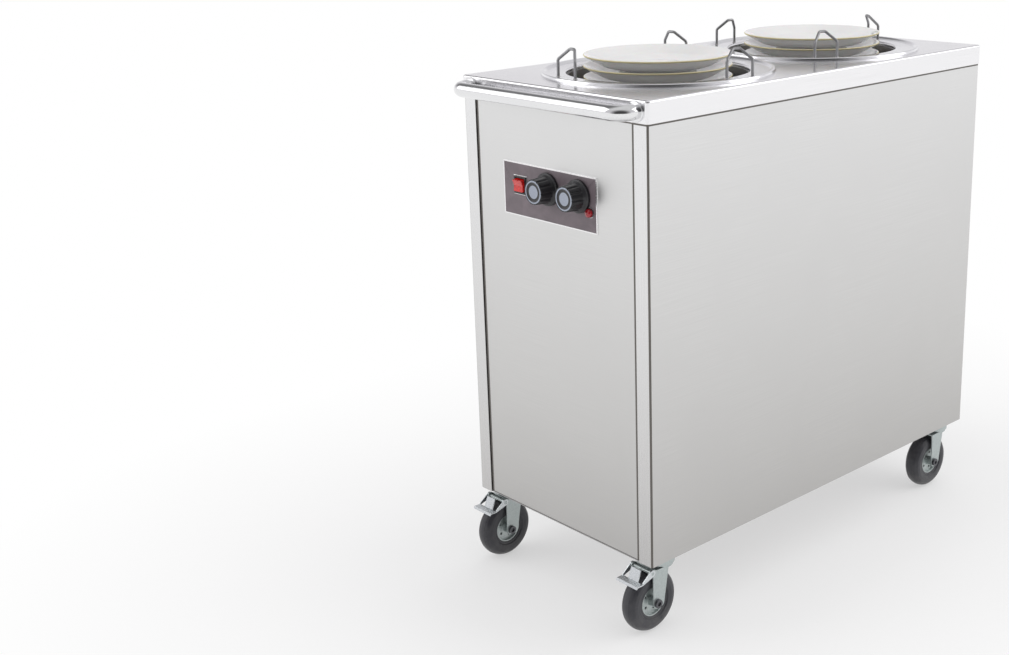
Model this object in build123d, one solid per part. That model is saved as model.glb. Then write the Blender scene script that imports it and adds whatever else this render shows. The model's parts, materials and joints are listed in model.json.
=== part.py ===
from build123d import *

import os
from math import cos, hypot, radians, sin

# Heated two-well plate dispenser cart, in millimetres. +Z is up and the floor is Z = 0.
# The operator's end, with the handle and the controls, faces -Y. X runs across the cart.
# Every piece is drawn about the middle of the cabinet, and the whole cart is then moved
# along Y so that the origin lies under the middle of its outline on the floor.

# ---------------------------------------------------------------- cabinet
CART_WIDTH = 450.0
CART_LENGTH = 900.0
DECK_HEIGHT = 895.0
CABINET_BASE = 130.0
SHEET = 1.5
FIT_GAP = 0.5

LID_LIP = 36.0
LID_CORNER_RADIUS = 7.0
LID_EDGE_RADIUS = 4.0

PANEL_BEND = 4.0
CORNER_STRIP_WIDTH = 30.0
JAMB_DEPTH = 13.0
STRIP_SHADOW_GAP = 1.4
END_PANEL_RECESS = 2.0
END_PANEL_FLANGE = 15.0
PANEL_BASE_GAP = 3.0
PANEL_TOP_FLANGE = 12.0

PAN_SHEET = 2.0
PAN_UPSTAND = 22.0
RAIL_WIDTH = 30.0
RAIL_HEIGHT = 30.0
RAIL_WALL = 2.0

# ---------------------------------------------------------------- rear panel
VENT_LENGTH = 70.0
VENT_HEIGHT = 6.0
VENT_PITCH = 16.0
VENT_ROWS = 5
VENT_MARGIN = 81.6
VENT_HEIGHT_UP = 90.0
GLAND_INSET = 95.0
GLAND_HEIGHT_UP = 60.0
GLAND_RADIUS = 8.0
GLAND_HEX = 22.0
GLAND_HEX_LENGTH = 5.0
GLAND_NOSE_RADIUS = 9.0
GLAND_NOSE_LENGTH = 9.0
GLAND_BORE = 4.5
GLAND_SHANK = 9.0

# ---------------------------------------------------------------- wells
RING_RADIUS = 201.5
RING_GAP = 14.0
RING_REAR_MARGIN = 32.0
WELL_OPENING_RADIUS = 157.5
RING_SHEET = 1.5
RING_NECK_DEPTH = 22.0
RING_NECK_BEND = 3.0
RING_BEAD_WIDTH = 11.0
RING_BEAD_HEIGHT = 3.6
CAN_WALL = 1.2
CAN_TOP_DROP = 6.0
CAN_HEIGHT = 560.0
CAN_VENT_RADIUS = 20.0
CAN_VENT_HEIGHT_UP = 40.0
SLOT_WIDTH = 18.0

WELL_REAR_Y = CART_LENGTH / 2 - RING_REAR_MARGIN - RING_RADIUS
WELL_FRONT_Y = WELL_REAR_Y - 2 * RING_RADIUS - RING_GAP
WELLS = {"front": WELL_FRONT_Y, "rear": WELL_REAR_Y}

# ---------------------------------------------------------------- plates
PLATE_RADIUS = 128.0
PLATE_HEIGHT = 40.0
PLATE_FOOT_RADIUS = 66.0
PLATE_FOOT_WIDTH = 6.0
PLATE_FOOT_HEIGHT = 12.0
PLATE_FOOT_TAPER = 1.5
PLATE_BODY = 7.0
PLATE_SHOULDER_RADIUS = 96.0
PLATE_SHOULDER_RISE = 7.5
PLATE_RIM_EDGE = 3.2
PLATE_RIM_ROUND = 1.2
PLATE_SAG = 1.6
PLATE_COUNT = 4
STACK_RISE = 31.0

# ---------------------------------------------------------------- wire guides
GUIDE_WIRE = 5.0
GUIDE_RADIUS = 176.0
GUIDE_SPAN = 47.0
GUIDE_LEG_HEIGHT = 29.0
GUIDE_HEIGHT = 49.0
GUIDE_TOP_INSET = 13.0
GUIDE_TOP_SHARE = 0.26
GUIDE_BEND_RADIUS = 6.0
GUIDE_ANGLES = {"front": (-104.0, 4.0, 124.0), "rear": (-160.0, -43.0, 85.0)}
GUIDE_TURNS = {"front": (9.0, -25.0, -25.0), "rear": (-25.0, 25.0, -25.0)}

# ---------------------------------------------------------------- plate carriers
CARRIER_RADIUS = 116.0
CARRIER_SHEET = 2.0
CARRIER_RIM_DEPTH = 9.0
CARRIER_HOLE_RADIUS = 18.0
ARM_COUNT = 3
ARM_ANGLE = {"front": 30.0, "rear": 30.0}
ARM_WIDTH = 12.0
ARM_THICKNESS = 4.0
ARM_INNER_RADIUS = 40.0
YOKE_CLEARANCE = 4.0
YOKE_RING_WIDTH = 9.0
YOKE_DROP = 227.0
GLIDE_CLEARANCE = 0.6
GLIDE_HEIGHT = 18.0
GLIDE_LENGTH = 9.0
CARRIER_DROP = 420.0
SPRING_RADIUS = 6.0
SPRING_ROD = 1.5
SPRING_ROD_LENGTH = 14.0
HANGER_WIDTH = 16.0
HANGER_DROP = 12.0
HANGER_REACH = 14.0
HANGER_SHEET = 2.0

# ---------------------------------------------------------------- heating
HEATER_HEIGHT = 220.0
HEATER_OUTER_RADIUS = 118.0
HEATER_INNER_RADIUS = 92.0
HEATER_THICKNESS = 8.0
HEATER_POST_WIDTH = 14.0
HEATER_POST_SHEET = 2.0

# ---------------------------------------------------------------- controls
CONTROL_CENTRE_X = -8.0
CONTROL_DROP = 180.0
CONTROL_WIDTH = 231.0
CONTROL_HEIGHT = 92.0
CONTROL_SHEET = 1.2
CONTROL_CORNER = 2.0
KNOB_DROP = 169.0
KNOB_X = {"front": -9.5, "rear": 65.0}
KNOB_SKIRT_RADIUS = 27.5
KNOB_SKIRT_DEPTH = 5.0
KNOB_GRIP_RADIUS = 22.5
KNOB_GRIP_TAPER = 1.5
KNOB_SHOULDER = 4.0
KNOB_LENGTH = 32.0
KNOB_FLUTES = 12
KNOB_FLUTE_RADIUS = 2.2
KNOB_CAP_RADIUS = 19.4
KNOB_CAP_DEPTH = 2.6
KNOB_CAP_LAND = 4.5
KNOB_CAP_DISH = 1.9
KNOB_CAP_FIT = 0.1
KNOB_PANEL_GAP = 0.8
SPINDLE_RADIUS = 3.0
SPINDLE_CLEARANCE = 0.6
THERMOSTAT_WIDTH = 40.0
THERMOSTAT_DEPTH = 26.0
SWITCH_X = -80.0
SWITCH_DROP = 172.5
SWITCH_BEZEL = (30.0, 28.0, 2.0)
SWITCH_BODY_DEPTH = 24.0
SWITCH_WALL = 1.6
ROCKER_WIDTH = 23.0
ROCKER_HEIGHT = 20.0
ROCKER_PROUD = 5.6
ROCKER_DIP = 2.4
ROCKER_TILT = 8.0
ROCKER_CLEARANCE = 0.5
LAMP_X = 91.5
LAMP_DROP = 192.5
LAMP_LENS_RADIUS = 7.0
LAMP_LENS_PROUD = 7.5
LAMP_BEZEL_RADIUS = 7.7
LAMP_BEZEL_DEPTH = 1.6
LAMP_BODY_LENGTH = 22.0

# ---------------------------------------------------------------- handle
HANDLE_RADIUS = 12.5
HANDLE_WALL = 1.5
HANDLE_LEG_INSET = 25.0
HANDLE_STANDOFF = 33.0
HANDLE_BEND = 24.0
HANDLE_DROP = 18.5
FLANGE_RADIUS = 16.5
FLANGE_SHEET = 3.0
FLANGE_SPIGOT = 5.0
SCREW_RADIUS = 3.0
SCREW_HOLE_CLEARANCE = 0.2
SCREW_HEAD = 10.0
SCREW_HEAD_HEIGHT = 4.0

# ---------------------------------------------------------------- casters
CASTER_SIDE_INSET = 35.0
CASTER_INSET = 50.0
CASTER_TRAIL = 25.0
WHEEL_RADIUS = 54.0
WHEEL_WIDTH = 32.0
TYRE_SHOULDER = 11.0
TYRE_FLANK = 9.0
TYRE_CLEARANCE = 4.0
HUB_RADIUS = 26.0
HUB_RIM = 3.0
HUB_HALF_WIDTH = 12.0
HUB_WEB_HALF = 7.0
HUB_BOSS_RADIUS = 9.0
HUB_SIDE_PLAY = 0.6
HUB_HOLES = 5
HUB_HOLE_RADIUS = 2.4
FORK_SHEET = 2.5
FORK_INNER_HALF = 19.5
FORK_FOOT_RADIUS = 9.5
FORK_FOOT_BACK = 6.5
FORK_CROWN_REAR = 2.0
RACE_RADIUS = 24.0
RACE_HEIGHT = 5.5
HEAD_RADIUS = 27.0
HEAD_SKIRT = 2.0
HEAD_GAP = 1.5
KINGPIN_RADIUS = 6.0
KINGPIN_RUNNING_GAP = 0.08
RIVET_RADIUS = 10.0
RIVET_HEIGHT = 2.4
RIVET_GAP = 0.25
MOUNT_BOLT_RADIUS = 5.0
MOUNT_BOLT_GRIP = 6.0
MOUNT_BOLT_HEAD = 16.0
MOUNT_BOLT_HEAD_HEIGHT = 6.5
AXLE_RADIUS = 5.0
AXLE_RUNNING_GAP = 0.06
AXLE_HEAD_RADIUS = 7.5
AXLE_HEAD_LENGTH = 4.5
AXLE_SOCKET = 7.0
AXLE_SOCKET_DEPTH = 3.0
AXLE_NUT = 15.0
BRAKE_PIN_RADIUS = 3.0
BRAKE_PIN_FORWARD = 13.0
BRAKE_PIN_ABOVE_CROWN = 1.0
BRAKE_EAR_RADIUS = 6.0
BRAKE_EAR_DEPTH = 12.0
BRAKE_SIDE_GAP = 0.4
PEDAL_SHEET = 2.0
PEDAL_CHEEK_RADIUS = 6.0
PEDAL_TONGUE_REACH = 22.5
PEDAL_TONGUE_DROP = 13.0
PEDAL_TONGUE_LENGTH = 13.0
PEDAL_LIP = 4.0
WING_WIDTH = 22.0
WING_REACH = 10.0
WING_HEIGHT = 6.0

CASTER_X = CART_WIDTH / 2 - CASTER_SIDE_INSET
CASTER_Y = CART_LENGTH / 2 - CASTER_INSET
CASTERS = {
    "front_right": (CASTER_X, -CASTER_Y),
    "front_left": (-CASTER_X, -CASTER_Y),
    "rear_right": (CASTER_X, CASTER_Y),
    "rear_left": (-CASTER_X, CASTER_Y),
}
BRAKED = ("front_right", "front_left")

# ---------------------------------------------------------------- places worked out
HANDLE_LEG_X = CART_WIDTH / 2 - HANDLE_LEG_INSET
GLAND_X = GLAND_INSET - CART_WIDTH / 2
LIP_FACE_Y = CART_LENGTH / 2
BODY_HALF_WIDTH = CART_WIDTH / 2 - SHEET - FIT_GAP
BODY_HALF_LENGTH = CART_LENGTH / 2 - SHEET - FIT_GAP
BODY_TOP = DECK_HEIGHT - SHEET
END_FACE_Y = BODY_HALF_LENGTH - END_PANEL_RECESS
END_HALF_WIDTH = BODY_HALF_WIDTH - CORNER_STRIP_WIDTH - STRIP_SHADOW_GAP
VENT_COLUMN_X = END_HALF_WIDTH - VENT_MARGIN - VENT_LENGTH / 2
PAN_TOP = CABINET_BASE + PAN_SHEET
RAIL_TOP = PAN_TOP + RAIL_HEIGHT
FRONT_END = LIP_FACE_Y + HANDLE_STANDOFF + HANDLE_RADIUS
REAR_END = END_FACE_Y + GLAND_HEX_LENGTH + GLAND_NOSE_LENGTH
CABINET_Y = (FRONT_END - REAR_END) / 2

NECK_LINE = WELL_OPENING_RADIUS + RING_SHEET / 2
DECK_CUT_RADIUS = NECK_LINE + RING_NECK_BEND + FIT_GAP
CAN_OUTER = WELL_OPENING_RADIUS - FIT_GAP
CAN_TOP = DECK_HEIGHT - CAN_TOP_DROP
CAN_BASE = CAN_TOP - CAN_HEIGHT
PLATE_PITCH = PLATE_FOOT_HEIGHT + PLATE_BODY
STACK_FOOT = DECK_HEIGHT + STACK_RISE - PLATE_HEIGHT - PLATE_PITCH * (PLATE_COUNT - 1)
ARM_TOP = STACK_FOOT - CARRIER_SHEET
GLIDE_TOP = ARM_TOP - ARM_THICKNESS / 2 + GLIDE_HEIGHT / 2
CARRIER_RISE = DECK_HEIGHT - RING_NECK_DEPTH - GLIDE_TOP - 2 * FIT_GAP
YOKE_INNER = CAN_OUTER + YOKE_CLEARANCE
YOKE_OUTER = YOKE_INNER + YOKE_RING_WIDTH
YOKE_MID = (YOKE_INNER + YOKE_OUTER) / 2
YOKE_RING_TOP = STACK_FOOT - YOKE_DROP
DECK_UNDERSIDE = DECK_HEIGHT - SHEET
HANGER_BOTTOM = DECK_UNDERSIDE - HANGER_DROP

CROWN_BASE = 2 * WHEEL_RADIUS + TYRE_CLEARANCE
CROWN_TOP = CROWN_BASE + FORK_SHEET
RACE_TOP = CROWN_TOP + RACE_HEIGHT
FORK_OUTER_HALF = FORK_INNER_HALF + FORK_SHEET
CROWN_FRONT = CASTER_TRAIL + FORK_FOOT_RADIUS
HEAD_BASE = RACE_TOP + HEAD_GAP
BRAKE_PIN_Y = -(CASTER_TRAIL + BRAKE_PIN_FORWARD)
BRAKE_PIN_Z = CROWN_TOP - BRAKE_PIN_ABOVE_CROWN
CHEEK_INNER = FORK_OUTER_HALF + BRAKE_SIDE_GAP
CHEEK_OUTER = CHEEK_INNER + PEDAL_SHEET


# ---------------------------------------------------------------- small helpers
def revolve_about(axis_plane, outline):
    """The solid of revolution of a closed outline drawn as (radius, height) on a plane's X and Y."""
    return revolve(axis_plane * make_face(outline), Axis(axis_plane.origin, axis_plane.y_dir))


def upright(outline):
    """A solid of revolution about the Z axis."""
    return revolve_about(Plane.XZ, outline)


def turned_half(outline):
    """A solid of revolution about Z, from an outline that is the same on both sides of the axis."""
    face = make_face(outline)
    bounds = face.bounding_box()
    width, height = bounds.max.X, bounds.size.Y
    half = face & (Pos(width / 2, bounds.center().Y) * Rectangle(width, 2 * height))
    return revolve(Plane.XZ * half, Axis.Z)


def tube_between(inner, outer, low, high):
    """An upright tube from one height to another."""
    height = high - low
    wall = Cylinder(outer, height) - Cylinder(inner, height)
    return Pos(0, 0, (low + high) / 2) * wall


def along_y(radius, start, end, x=0.0, z=0.0):
    """A round bar along Y, from one Y to another."""
    bar = Rot(90, 0, 0) * Cylinder(radius, abs(end - start))
    return Pos(x, (start + end) / 2, z) * bar


def along_x(radius, start, end, y=0.0, z=0.0):
    """A round bar along X, from one X to another."""
    bar = Rot(0, 90, 0) * Cylinder(radius, abs(end - start))
    return Pos((start + end) / 2, y, z) * bar


def ordered(one, other):
    """The low and the high corner of the box that two corners span."""
    low = tuple(min(a, b) for a, b in zip(one, other))
    high = tuple(max(a, b) for a, b in zip(one, other))
    return low, high


def block(low, high):
    """A box between two opposite corners."""
    size = [h - l for l, h in zip(low, high)]
    middle = [(h + l) / 2 for l, h in zip(low, high)]
    return Pos(*middle) * Box(*size)


def polar(radius, angle):
    return radius * cos(radians(angle)), radius * sin(radians(angle))


def arm_angles(well):
    return [ARM_ANGLE[well] + 360.0 * n / ARM_COUNT for n in range(ARM_COUNT)]


def spring_angles(well):
    return [angle + 180.0 / ARM_COUNT for angle in arm_angles(well)]


# ---------------------------------------------------------------- cabinet pieces
def handle_screw_places():
    """Where the handle's two legs meet the lip, as (X, Z)."""
    return [(side * HANDLE_LEG_X, DECK_HEIGHT - HANDLE_DROP) for side in (-1, 1)]


def make_lid():
    """The lid: one sheet with a lip turned down all round, and a hole for each well."""
    outer = extrude(RectangleRounded(CART_WIDTH, CART_LENGTH, LID_CORNER_RADIUS), LID_LIP)
    outer = fillet(outer.edges().group_by(Axis.Z)[-1], LID_EDGE_RADIUS)
    inner_radius = LID_CORNER_RADIUS - SHEET
    inner_size = (CART_WIDTH - 2 * SHEET, CART_LENGTH - 2 * SHEET)
    inner = extrude(RectangleRounded(*inner_size, inner_radius), LID_LIP - SHEET)
    inner = fillet(inner.edges().group_by(Axis.Z)[-1], LID_EDGE_RADIUS - SHEET)
    lid = Pos(0, 0, DECK_HEIGHT - LID_LIP) * (outer - inner)
    for well_y in WELLS.values():
        lid -= Pos(0, well_y, DECK_HEIGHT) * Cylinder(DECK_CUT_RADIUS, LID_LIP)
    for x, z in handle_screw_places():
        hole = SCREW_RADIUS + SCREW_HOLE_CLEARANCE
        lid -= along_y(hole, -LIP_FACE_Y - SHEET, -LIP_FACE_Y + 2 * SHEET, x, z)
    return lid


def make_side_panel(side):
    """A long side, bent round both ends into corner strips and over the top into a flange."""
    height = BODY_TOP - CABINET_BASE
    size = (2 * BODY_HALF_WIDTH, 2 * BODY_HALF_LENGTH)
    outer = extrude(RectangleRounded(*size, PANEL_BEND), height)
    outer = fillet(outer.edges().group_by(Axis.Z)[-1], PANEL_BEND)
    inner_size = (size[0] - 2 * SHEET, size[1] - 2 * SHEET)
    inner = extrude(RectangleRounded(*inner_size, PANEL_BEND - SHEET), height - SHEET)
    inner = fillet(inner.edges().group_by(Axis.Z)[-1], PANEL_BEND - SHEET)
    strip_edge = BODY_HALF_WIDTH - CORNER_STRIP_WIDTH
    flange_edge = BODY_HALF_WIDTH - PANEL_TOP_FLANGE
    jamb_edge = BODY_HALF_LENGTH - JAMB_DEPTH
    panel = Pos(0, 0, CABINET_BASE) * (outer - inner)
    panel &= block(
        *ordered((side * strip_edge, -CART_LENGTH, 0), (side * CART_WIDTH, CART_LENGTH, DECK_HEIGHT))
    )
    panel -= block(
        *ordered(
            (0, -jamb_edge, BODY_TOP - 2 * SHEET), (side * flange_edge, jamb_edge, DECK_HEIGHT)
        )
    )
    for end in (-1, 1):
        panel += block(
            *ordered(
                (side * strip_edge, end * (BODY_HALF_LENGTH - SHEET), PAN_TOP + FIT_GAP),
                (side * (strip_edge + SHEET), end * jamb_edge, BODY_TOP),
            )
        )
    for x, z in handle_screw_places():
        hole = SCREW_RADIUS + SCREW_HOLE_CLEARANCE
        panel -= along_y(hole, -LIP_FACE_Y, -BODY_HALF_LENGTH + 2 * SHEET, x, z)
    return panel


def make_end_panel(end):
    """A shallow tray set back between the corner strips, its flanges turned into the cabinet."""
    low = CABINET_BASE + PANEL_BASE_GAP
    high = BODY_TOP
    back = END_FACE_Y - END_PANEL_FLANGE
    tray = block(
        *ordered((-END_HALF_WIDTH, end * END_FACE_Y, low), (END_HALF_WIDTH, end * back, high))
    )
    hollow = block(
        *ordered(
            (SHEET - END_HALF_WIDTH, end * (END_FACE_Y - SHEET), low + SHEET),
            (END_HALF_WIDTH - SHEET, end * (back - SHEET), high - SHEET),
        )
    )
    return tray - hollow


def make_front_panel():
    """The operator's end, cut for the switch, the two thermostat spindles and the lamp."""
    panel = make_end_panel(-1)
    depth = (-END_FACE_Y - SHEET, -END_FACE_Y + 2 * SHEET)
    return panel - control_cutters(depth)


def control_cutters(depth):
    """The holes that the controls need, through whatever lies between two Y values."""
    start, end = depth
    cutters = along_y(lamp_body_radius() + FIT_GAP, start, end, LAMP_X, DECK_HEIGHT - LAMP_DROP)
    for x in KNOB_X.values():
        radius = SPINDLE_RADIUS + SPINDLE_CLEARANCE
        cutters += along_y(radius, start, end, x, DECK_HEIGHT - KNOB_DROP)
    half_x, half_z = [half + FIT_GAP for half in switch_body_half()]
    middle_z = DECK_HEIGHT - SWITCH_DROP
    cutters += block(
        (SWITCH_X - half_x, start, middle_z - half_z), (SWITCH_X + half_x, end, middle_z + half_z)
    )
    return cutters


def make_rear_panel():
    """The far end, with two columns of vent slots and the hole for the cable gland."""
    panel = make_end_panel(1)
    middle = END_FACE_Y - SHEET / 2
    slot = Rot(90, 0, 0) * extrude(SlotOverall(VENT_LENGTH, VENT_HEIGHT), 2 * SHEET, both=True)
    for column in (-VENT_COLUMN_X, VENT_COLUMN_X):
        for row in range(VENT_ROWS):
            height = CABINET_BASE + VENT_HEIGHT_UP + row * VENT_PITCH
            panel -= Pos(column, middle, height) * slot
    gland_z = CABINET_BASE + GLAND_HEIGHT_UP
    return panel - along_y(
        GLAND_RADIUS + FIT_GAP, END_FACE_Y - 2 * SHEET, END_FACE_Y + SHEET, GLAND_X, gland_z
    )


def make_cable_gland():
    """The gland that the supply lead enters by: hexagon, domed nose and a bore right through."""
    z = CABINET_BASE + GLAND_HEIGHT_UP
    hexagon = extrude(RegularPolygon(GLAND_HEX / 2, 6, major_radius=False), GLAND_HEX_LENGTH)
    nose = Pos(0, 0, GLAND_HEX_LENGTH + GLAND_NOSE_LENGTH / 2) * Cone(
        GLAND_NOSE_RADIUS, (GLAND_NOSE_RADIUS + GLAND_BORE) / 2, GLAND_NOSE_LENGTH
    )
    shank = Pos(0, 0, -GLAND_SHANK / 2) * Cylinder(GLAND_RADIUS, GLAND_SHANK)
    total = GLAND_SHANK + GLAND_HEX_LENGTH + GLAND_NOSE_LENGTH
    gland = hexagon + nose + shank - Cylinder(GLAND_BORE, 2 * total)
    return Pos(GLAND_X, END_FACE_Y, z) * Rot(-90, 0, 0) * gland


def make_base_pan():
    """The floor of the cabinet, turned up along both long sides."""
    half_x = BODY_HALF_WIDTH - SHEET - FIT_GAP
    half_y = BODY_HALF_LENGTH - SHEET - FIT_GAP
    sheet = extrude(RectangleRounded(2 * half_x, 2 * half_y, PANEL_BEND), PAN_SHEET)
    pan = Pos(0, 0, CABINET_BASE) * sheet
    upstand_y = BODY_HALF_LENGTH - JAMB_DEPTH - 2 * PAN_SHEET
    for side in (-1, 1):
        x = sorted((side * half_x, side * (half_x - PAN_SHEET)))
        pan += block((x[0], -upstand_y, PAN_TOP), (x[1], upstand_y, PAN_TOP + PAN_UPSTAND))
    for x, y in CASTERS.values():
        pan -= Pos(x, y, PAN_TOP) * Cylinder(MOUNT_BOLT_RADIUS + FIT_GAP, 4 * PAN_SHEET)
    return pan


def make_chassis_frame():
    """Channel rails, open below, that stand on the pan over the casters and between the wells."""
    half = RAIL_WIDTH / 2
    spans = [
        ((side * CASTER_X - half, -CASTER_Y - half), (side * CASTER_X + half, CASTER_Y + half))
        for side in (-1, 1)
    ]
    middle = (WELL_FRONT_Y + WELL_REAR_Y) / 2
    for y in (-CASTER_Y, middle, CASTER_Y):
        spans.append(((-CASTER_X, y - half), (CASTER_X, y + half)))
    frame = block((*spans[0][0], PAN_TOP), (*spans[0][1], RAIL_TOP))
    for low, high in spans[1:]:
        frame += block((*low, PAN_TOP), (*high, RAIL_TOP))
    for low, high in spans:
        frame -= block(
            (low[0] + RAIL_WALL, low[1] + RAIL_WALL, CABINET_BASE),
            (high[0] - RAIL_WALL, high[1] - RAIL_WALL, RAIL_TOP - RAIL_WALL),
        )
    for x, y in CASTERS.values():
        frame -= Pos(x, y, RAIL_TOP) * Cylinder(MOUNT_BOLT_RADIUS + FIT_GAP, 4 * RAIL_HEIGHT)
    return frame


# ---------------------------------------------------------------- handle
def make_handle_tube():
    """The push handle: one polished tube bent back to the lid's lip at both ends."""
    root = -LIP_FACE_Y - FLANGE_SHEET
    front = -LIP_FACE_Y - HANDLE_STANDOFF
    path = FilletPolyline(
        (-HANDLE_LEG_X, root, 0),
        (-HANDLE_LEG_X, front, 0),
        (HANDLE_LEG_X, front, 0),
        (HANDLE_LEG_X, root, 0),
        radius=HANDLE_BEND,
    )
    start = Plane(origin=path @ 0, z_dir=path % 0)
    section = Circle(HANDLE_RADIUS) - Circle(HANDLE_RADIUS - HANDLE_WALL)
    return Pos(0, 0, DECK_HEIGHT - HANDLE_DROP) * sweep(start * section, path)


def make_handle_flanges():
    """A round foot at each end of the handle, with a threaded spigot up the tube."""
    spigot_radius = HANDLE_RADIUS - HANDLE_WALL - FIT_GAP
    foot = Cylinder(FLANGE_RADIUS, FLANGE_SHEET)
    foot = fillet(foot.edges().group_by(Axis.Z)[-1], FLANGE_SHEET / 3)
    foot = Pos(0, 0, FLANGE_SHEET / 2) * foot
    foot += Pos(0, 0, (FLANGE_SHEET + FLANGE_SPIGOT) / 2) * Cylinder(
        spigot_radius, FLANGE_SHEET + FLANGE_SPIGOT
    )
    foot -= Cylinder(SCREW_RADIUS, 4 * (FLANGE_SHEET + FLANGE_SPIGOT))
    foot = Rot(90, 0, 0) * foot
    return [Pos(x, -LIP_FACE_Y, z) * foot for x, z in handle_screw_places()]


def make_handle_screws():
    """A hexagon-headed screw from inside each corner strip, through the lip, into the handle's foot."""
    tip = -LIP_FACE_Y - FLANGE_SHEET - FLANGE_SPIGOT
    inside = -BODY_HALF_LENGTH + SHEET
    head = extrude(RegularPolygon(SCREW_HEAD / 2, 6, major_radius=False), SCREW_HEAD_HEIGHT)
    head = Pos(0, inside, 0) * Rot(-90, 0, 0) * Rot(0, 0, 30) * head
    screws = []
    for x, z in handle_screw_places():
        screws.append(along_y(SCREW_RADIUS, tip, inside, x, z) + Pos(x, 0, z) * head)
    return screws


# ---------------------------------------------------------------- wells
def make_well_ring(well):
    """A pressed ring on the lid: a neck down the well, a flat flange and a raised outer bead."""
    half = RING_SHEET / 2
    bead_start = RING_RADIUS - RING_BEAD_WIDTH
    bead_end = RING_RADIUS - half
    corner = NECK_LINE + RING_NECK_BEND
    neck = Line((NECK_LINE, -RING_NECK_DEPTH), (NECK_LINE, half - RING_NECK_BEND))
    bend = RadiusArc(neck @ 1, (corner, half), RING_NECK_BEND)
    flange = Line(bend @ 1, (bead_start, half))
    crest = ((bead_start + bead_end) / 2, half + RING_BEAD_HEIGHT)
    bead = ThreePointArc(flange @ 1, crest, (bead_end, half))
    section = trace(neck + bend + flange + bead, RING_SHEET)
    ring = revolve(Plane.XZ * section, Axis.Z)
    return Pos(0, WELLS[well], DECK_HEIGHT) * ring


def make_well_can(well):
    """The can that hangs in the ring's neck, slotted for the carrier's arms and vented low down."""
    can = tube_between(CAN_OUTER - CAN_WALL, CAN_OUTER, CAN_BASE, CAN_TOP)
    slot_top = GLIDE_TOP + CARRIER_RISE + FIT_GAP
    slot_base = GLIDE_TOP - GLIDE_HEIGHT - CARRIER_DROP - SLOT_WIDTH / 2
    for angle in arm_angles(well):
        slot = block(
            (ARM_INNER_RADIUS, -SLOT_WIDTH / 2, slot_base),
            (CAN_OUTER + CAN_WALL, SLOT_WIDTH / 2, slot_top),
        )
        can -= Rot(0, 0, angle) * slot
    for angle in spring_angles(well):
        hole = along_x(CAN_VENT_RADIUS, ARM_INNER_RADIUS, CAN_OUTER + CAN_WALL)
        can -= Pos(0, 0, CAN_BASE + CAN_VENT_HEIGHT_UP) * Rot(0, 0, angle) * hole
    return Pos(0, WELLS[well], 0) * can


def guide_path():
    """One guide's centre line, over the middle of its two feet, with its top leaning to -X."""
    half = GUIDE_SPAN / 2
    top_half = half * GUIDE_TOP_SHARE
    top = GUIDE_HEIGHT - GUIDE_WIRE / 2
    return FilletPolyline(
        (0, -half, 0),
        (0, -half, GUIDE_LEG_HEIGHT),
        (-GUIDE_TOP_INSET, -top_half, top),
        (-GUIDE_TOP_INSET, top_half, top),
        (0, half, GUIDE_LEG_HEIGHT),
        (0, half, 0),
        radius=GUIDE_BEND_RADIUS,
    )


def make_plate_guides(well):
    """Three wire hoops that stand on the ring, each set at its own turn, and lean in over it."""
    path = guide_path()
    hoop = sweep(Plane(origin=path @ 0, z_dir=path % 0) * Circle(GUIDE_WIRE / 2), path)
    foot = DECK_HEIGHT + RING_SHEET
    guides = []
    for angle, turn in zip(GUIDE_ANGLES[well], GUIDE_TURNS[well]):
        x, y = polar(GUIDE_RADIUS, angle)
        guides.append(Pos(x, WELLS[well] + y, foot) * Rot(0, 0, angle + turn) * hoop)
    return guides


def plate_outline():
    """Half of a plate's section, from the middle of its foot to its rim, foot at height 0."""
    foot_inner = PLATE_FOOT_RADIUS - PLATE_FOOT_WIDTH
    under = PLATE_FOOT_HEIGHT
    top = under + PLATE_BODY
    shoulder_z = under + PLATE_SHOULDER_RISE
    rim_low = PLATE_HEIGHT - PLATE_RIM_EDGE
    rim_inner = PLATE_RADIUS - PLATE_RIM_ROUND
    wall_mid = (PLATE_SHOULDER_RADIUS + PLATE_RADIUS) / 2
    dish = PLATE_SHOULDER_RADIUS - PLATE_BODY / 2
    lower = Polyline(
        (0, under),
        (foot_inner - PLATE_FOOT_TAPER, under),
        (foot_inner, 0),
        (PLATE_FOOT_RADIUS, 0),
        (PLATE_FOOT_RADIUS + PLATE_FOOT_TAPER, under),
        (PLATE_SHOULDER_RADIUS, shoulder_z),
    )
    rise = ThreePointArc(
        lower @ 1,
        (wall_mid, (shoulder_z + rim_low) / 2 - PLATE_SAG),
        (rim_inner, rim_low),
    )
    edge = ThreePointArc(
        rise @ 1, (PLATE_RADIUS, rim_low + PLATE_RIM_EDGE / 2), (rim_inner, PLATE_HEIGHT)
    )
    fall = ThreePointArc(
        edge @ 1,
        (wall_mid - PLATE_SAG, (shoulder_z + PLATE_HEIGHT + PLATE_BODY) / 2 - PLATE_SAG),
        (dish, shoulder_z + PLATE_BODY),
    )
    upper = Polyline(fall @ 1, (PLATE_FOOT_RADIUS, top), (0, top))
    axis = Line((0, top), (0, under))
    return lower + rise + edge + fall + upper + axis


def make_plates(well):
    """The nested stack of plates that the carrier holds level with the lid."""
    plate = upright(plate_outline())
    return [
        Pos(0, WELLS[well], STACK_FOOT + n * PLATE_PITCH) * plate for n in range(PLATE_COUNT)
    ]


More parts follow.
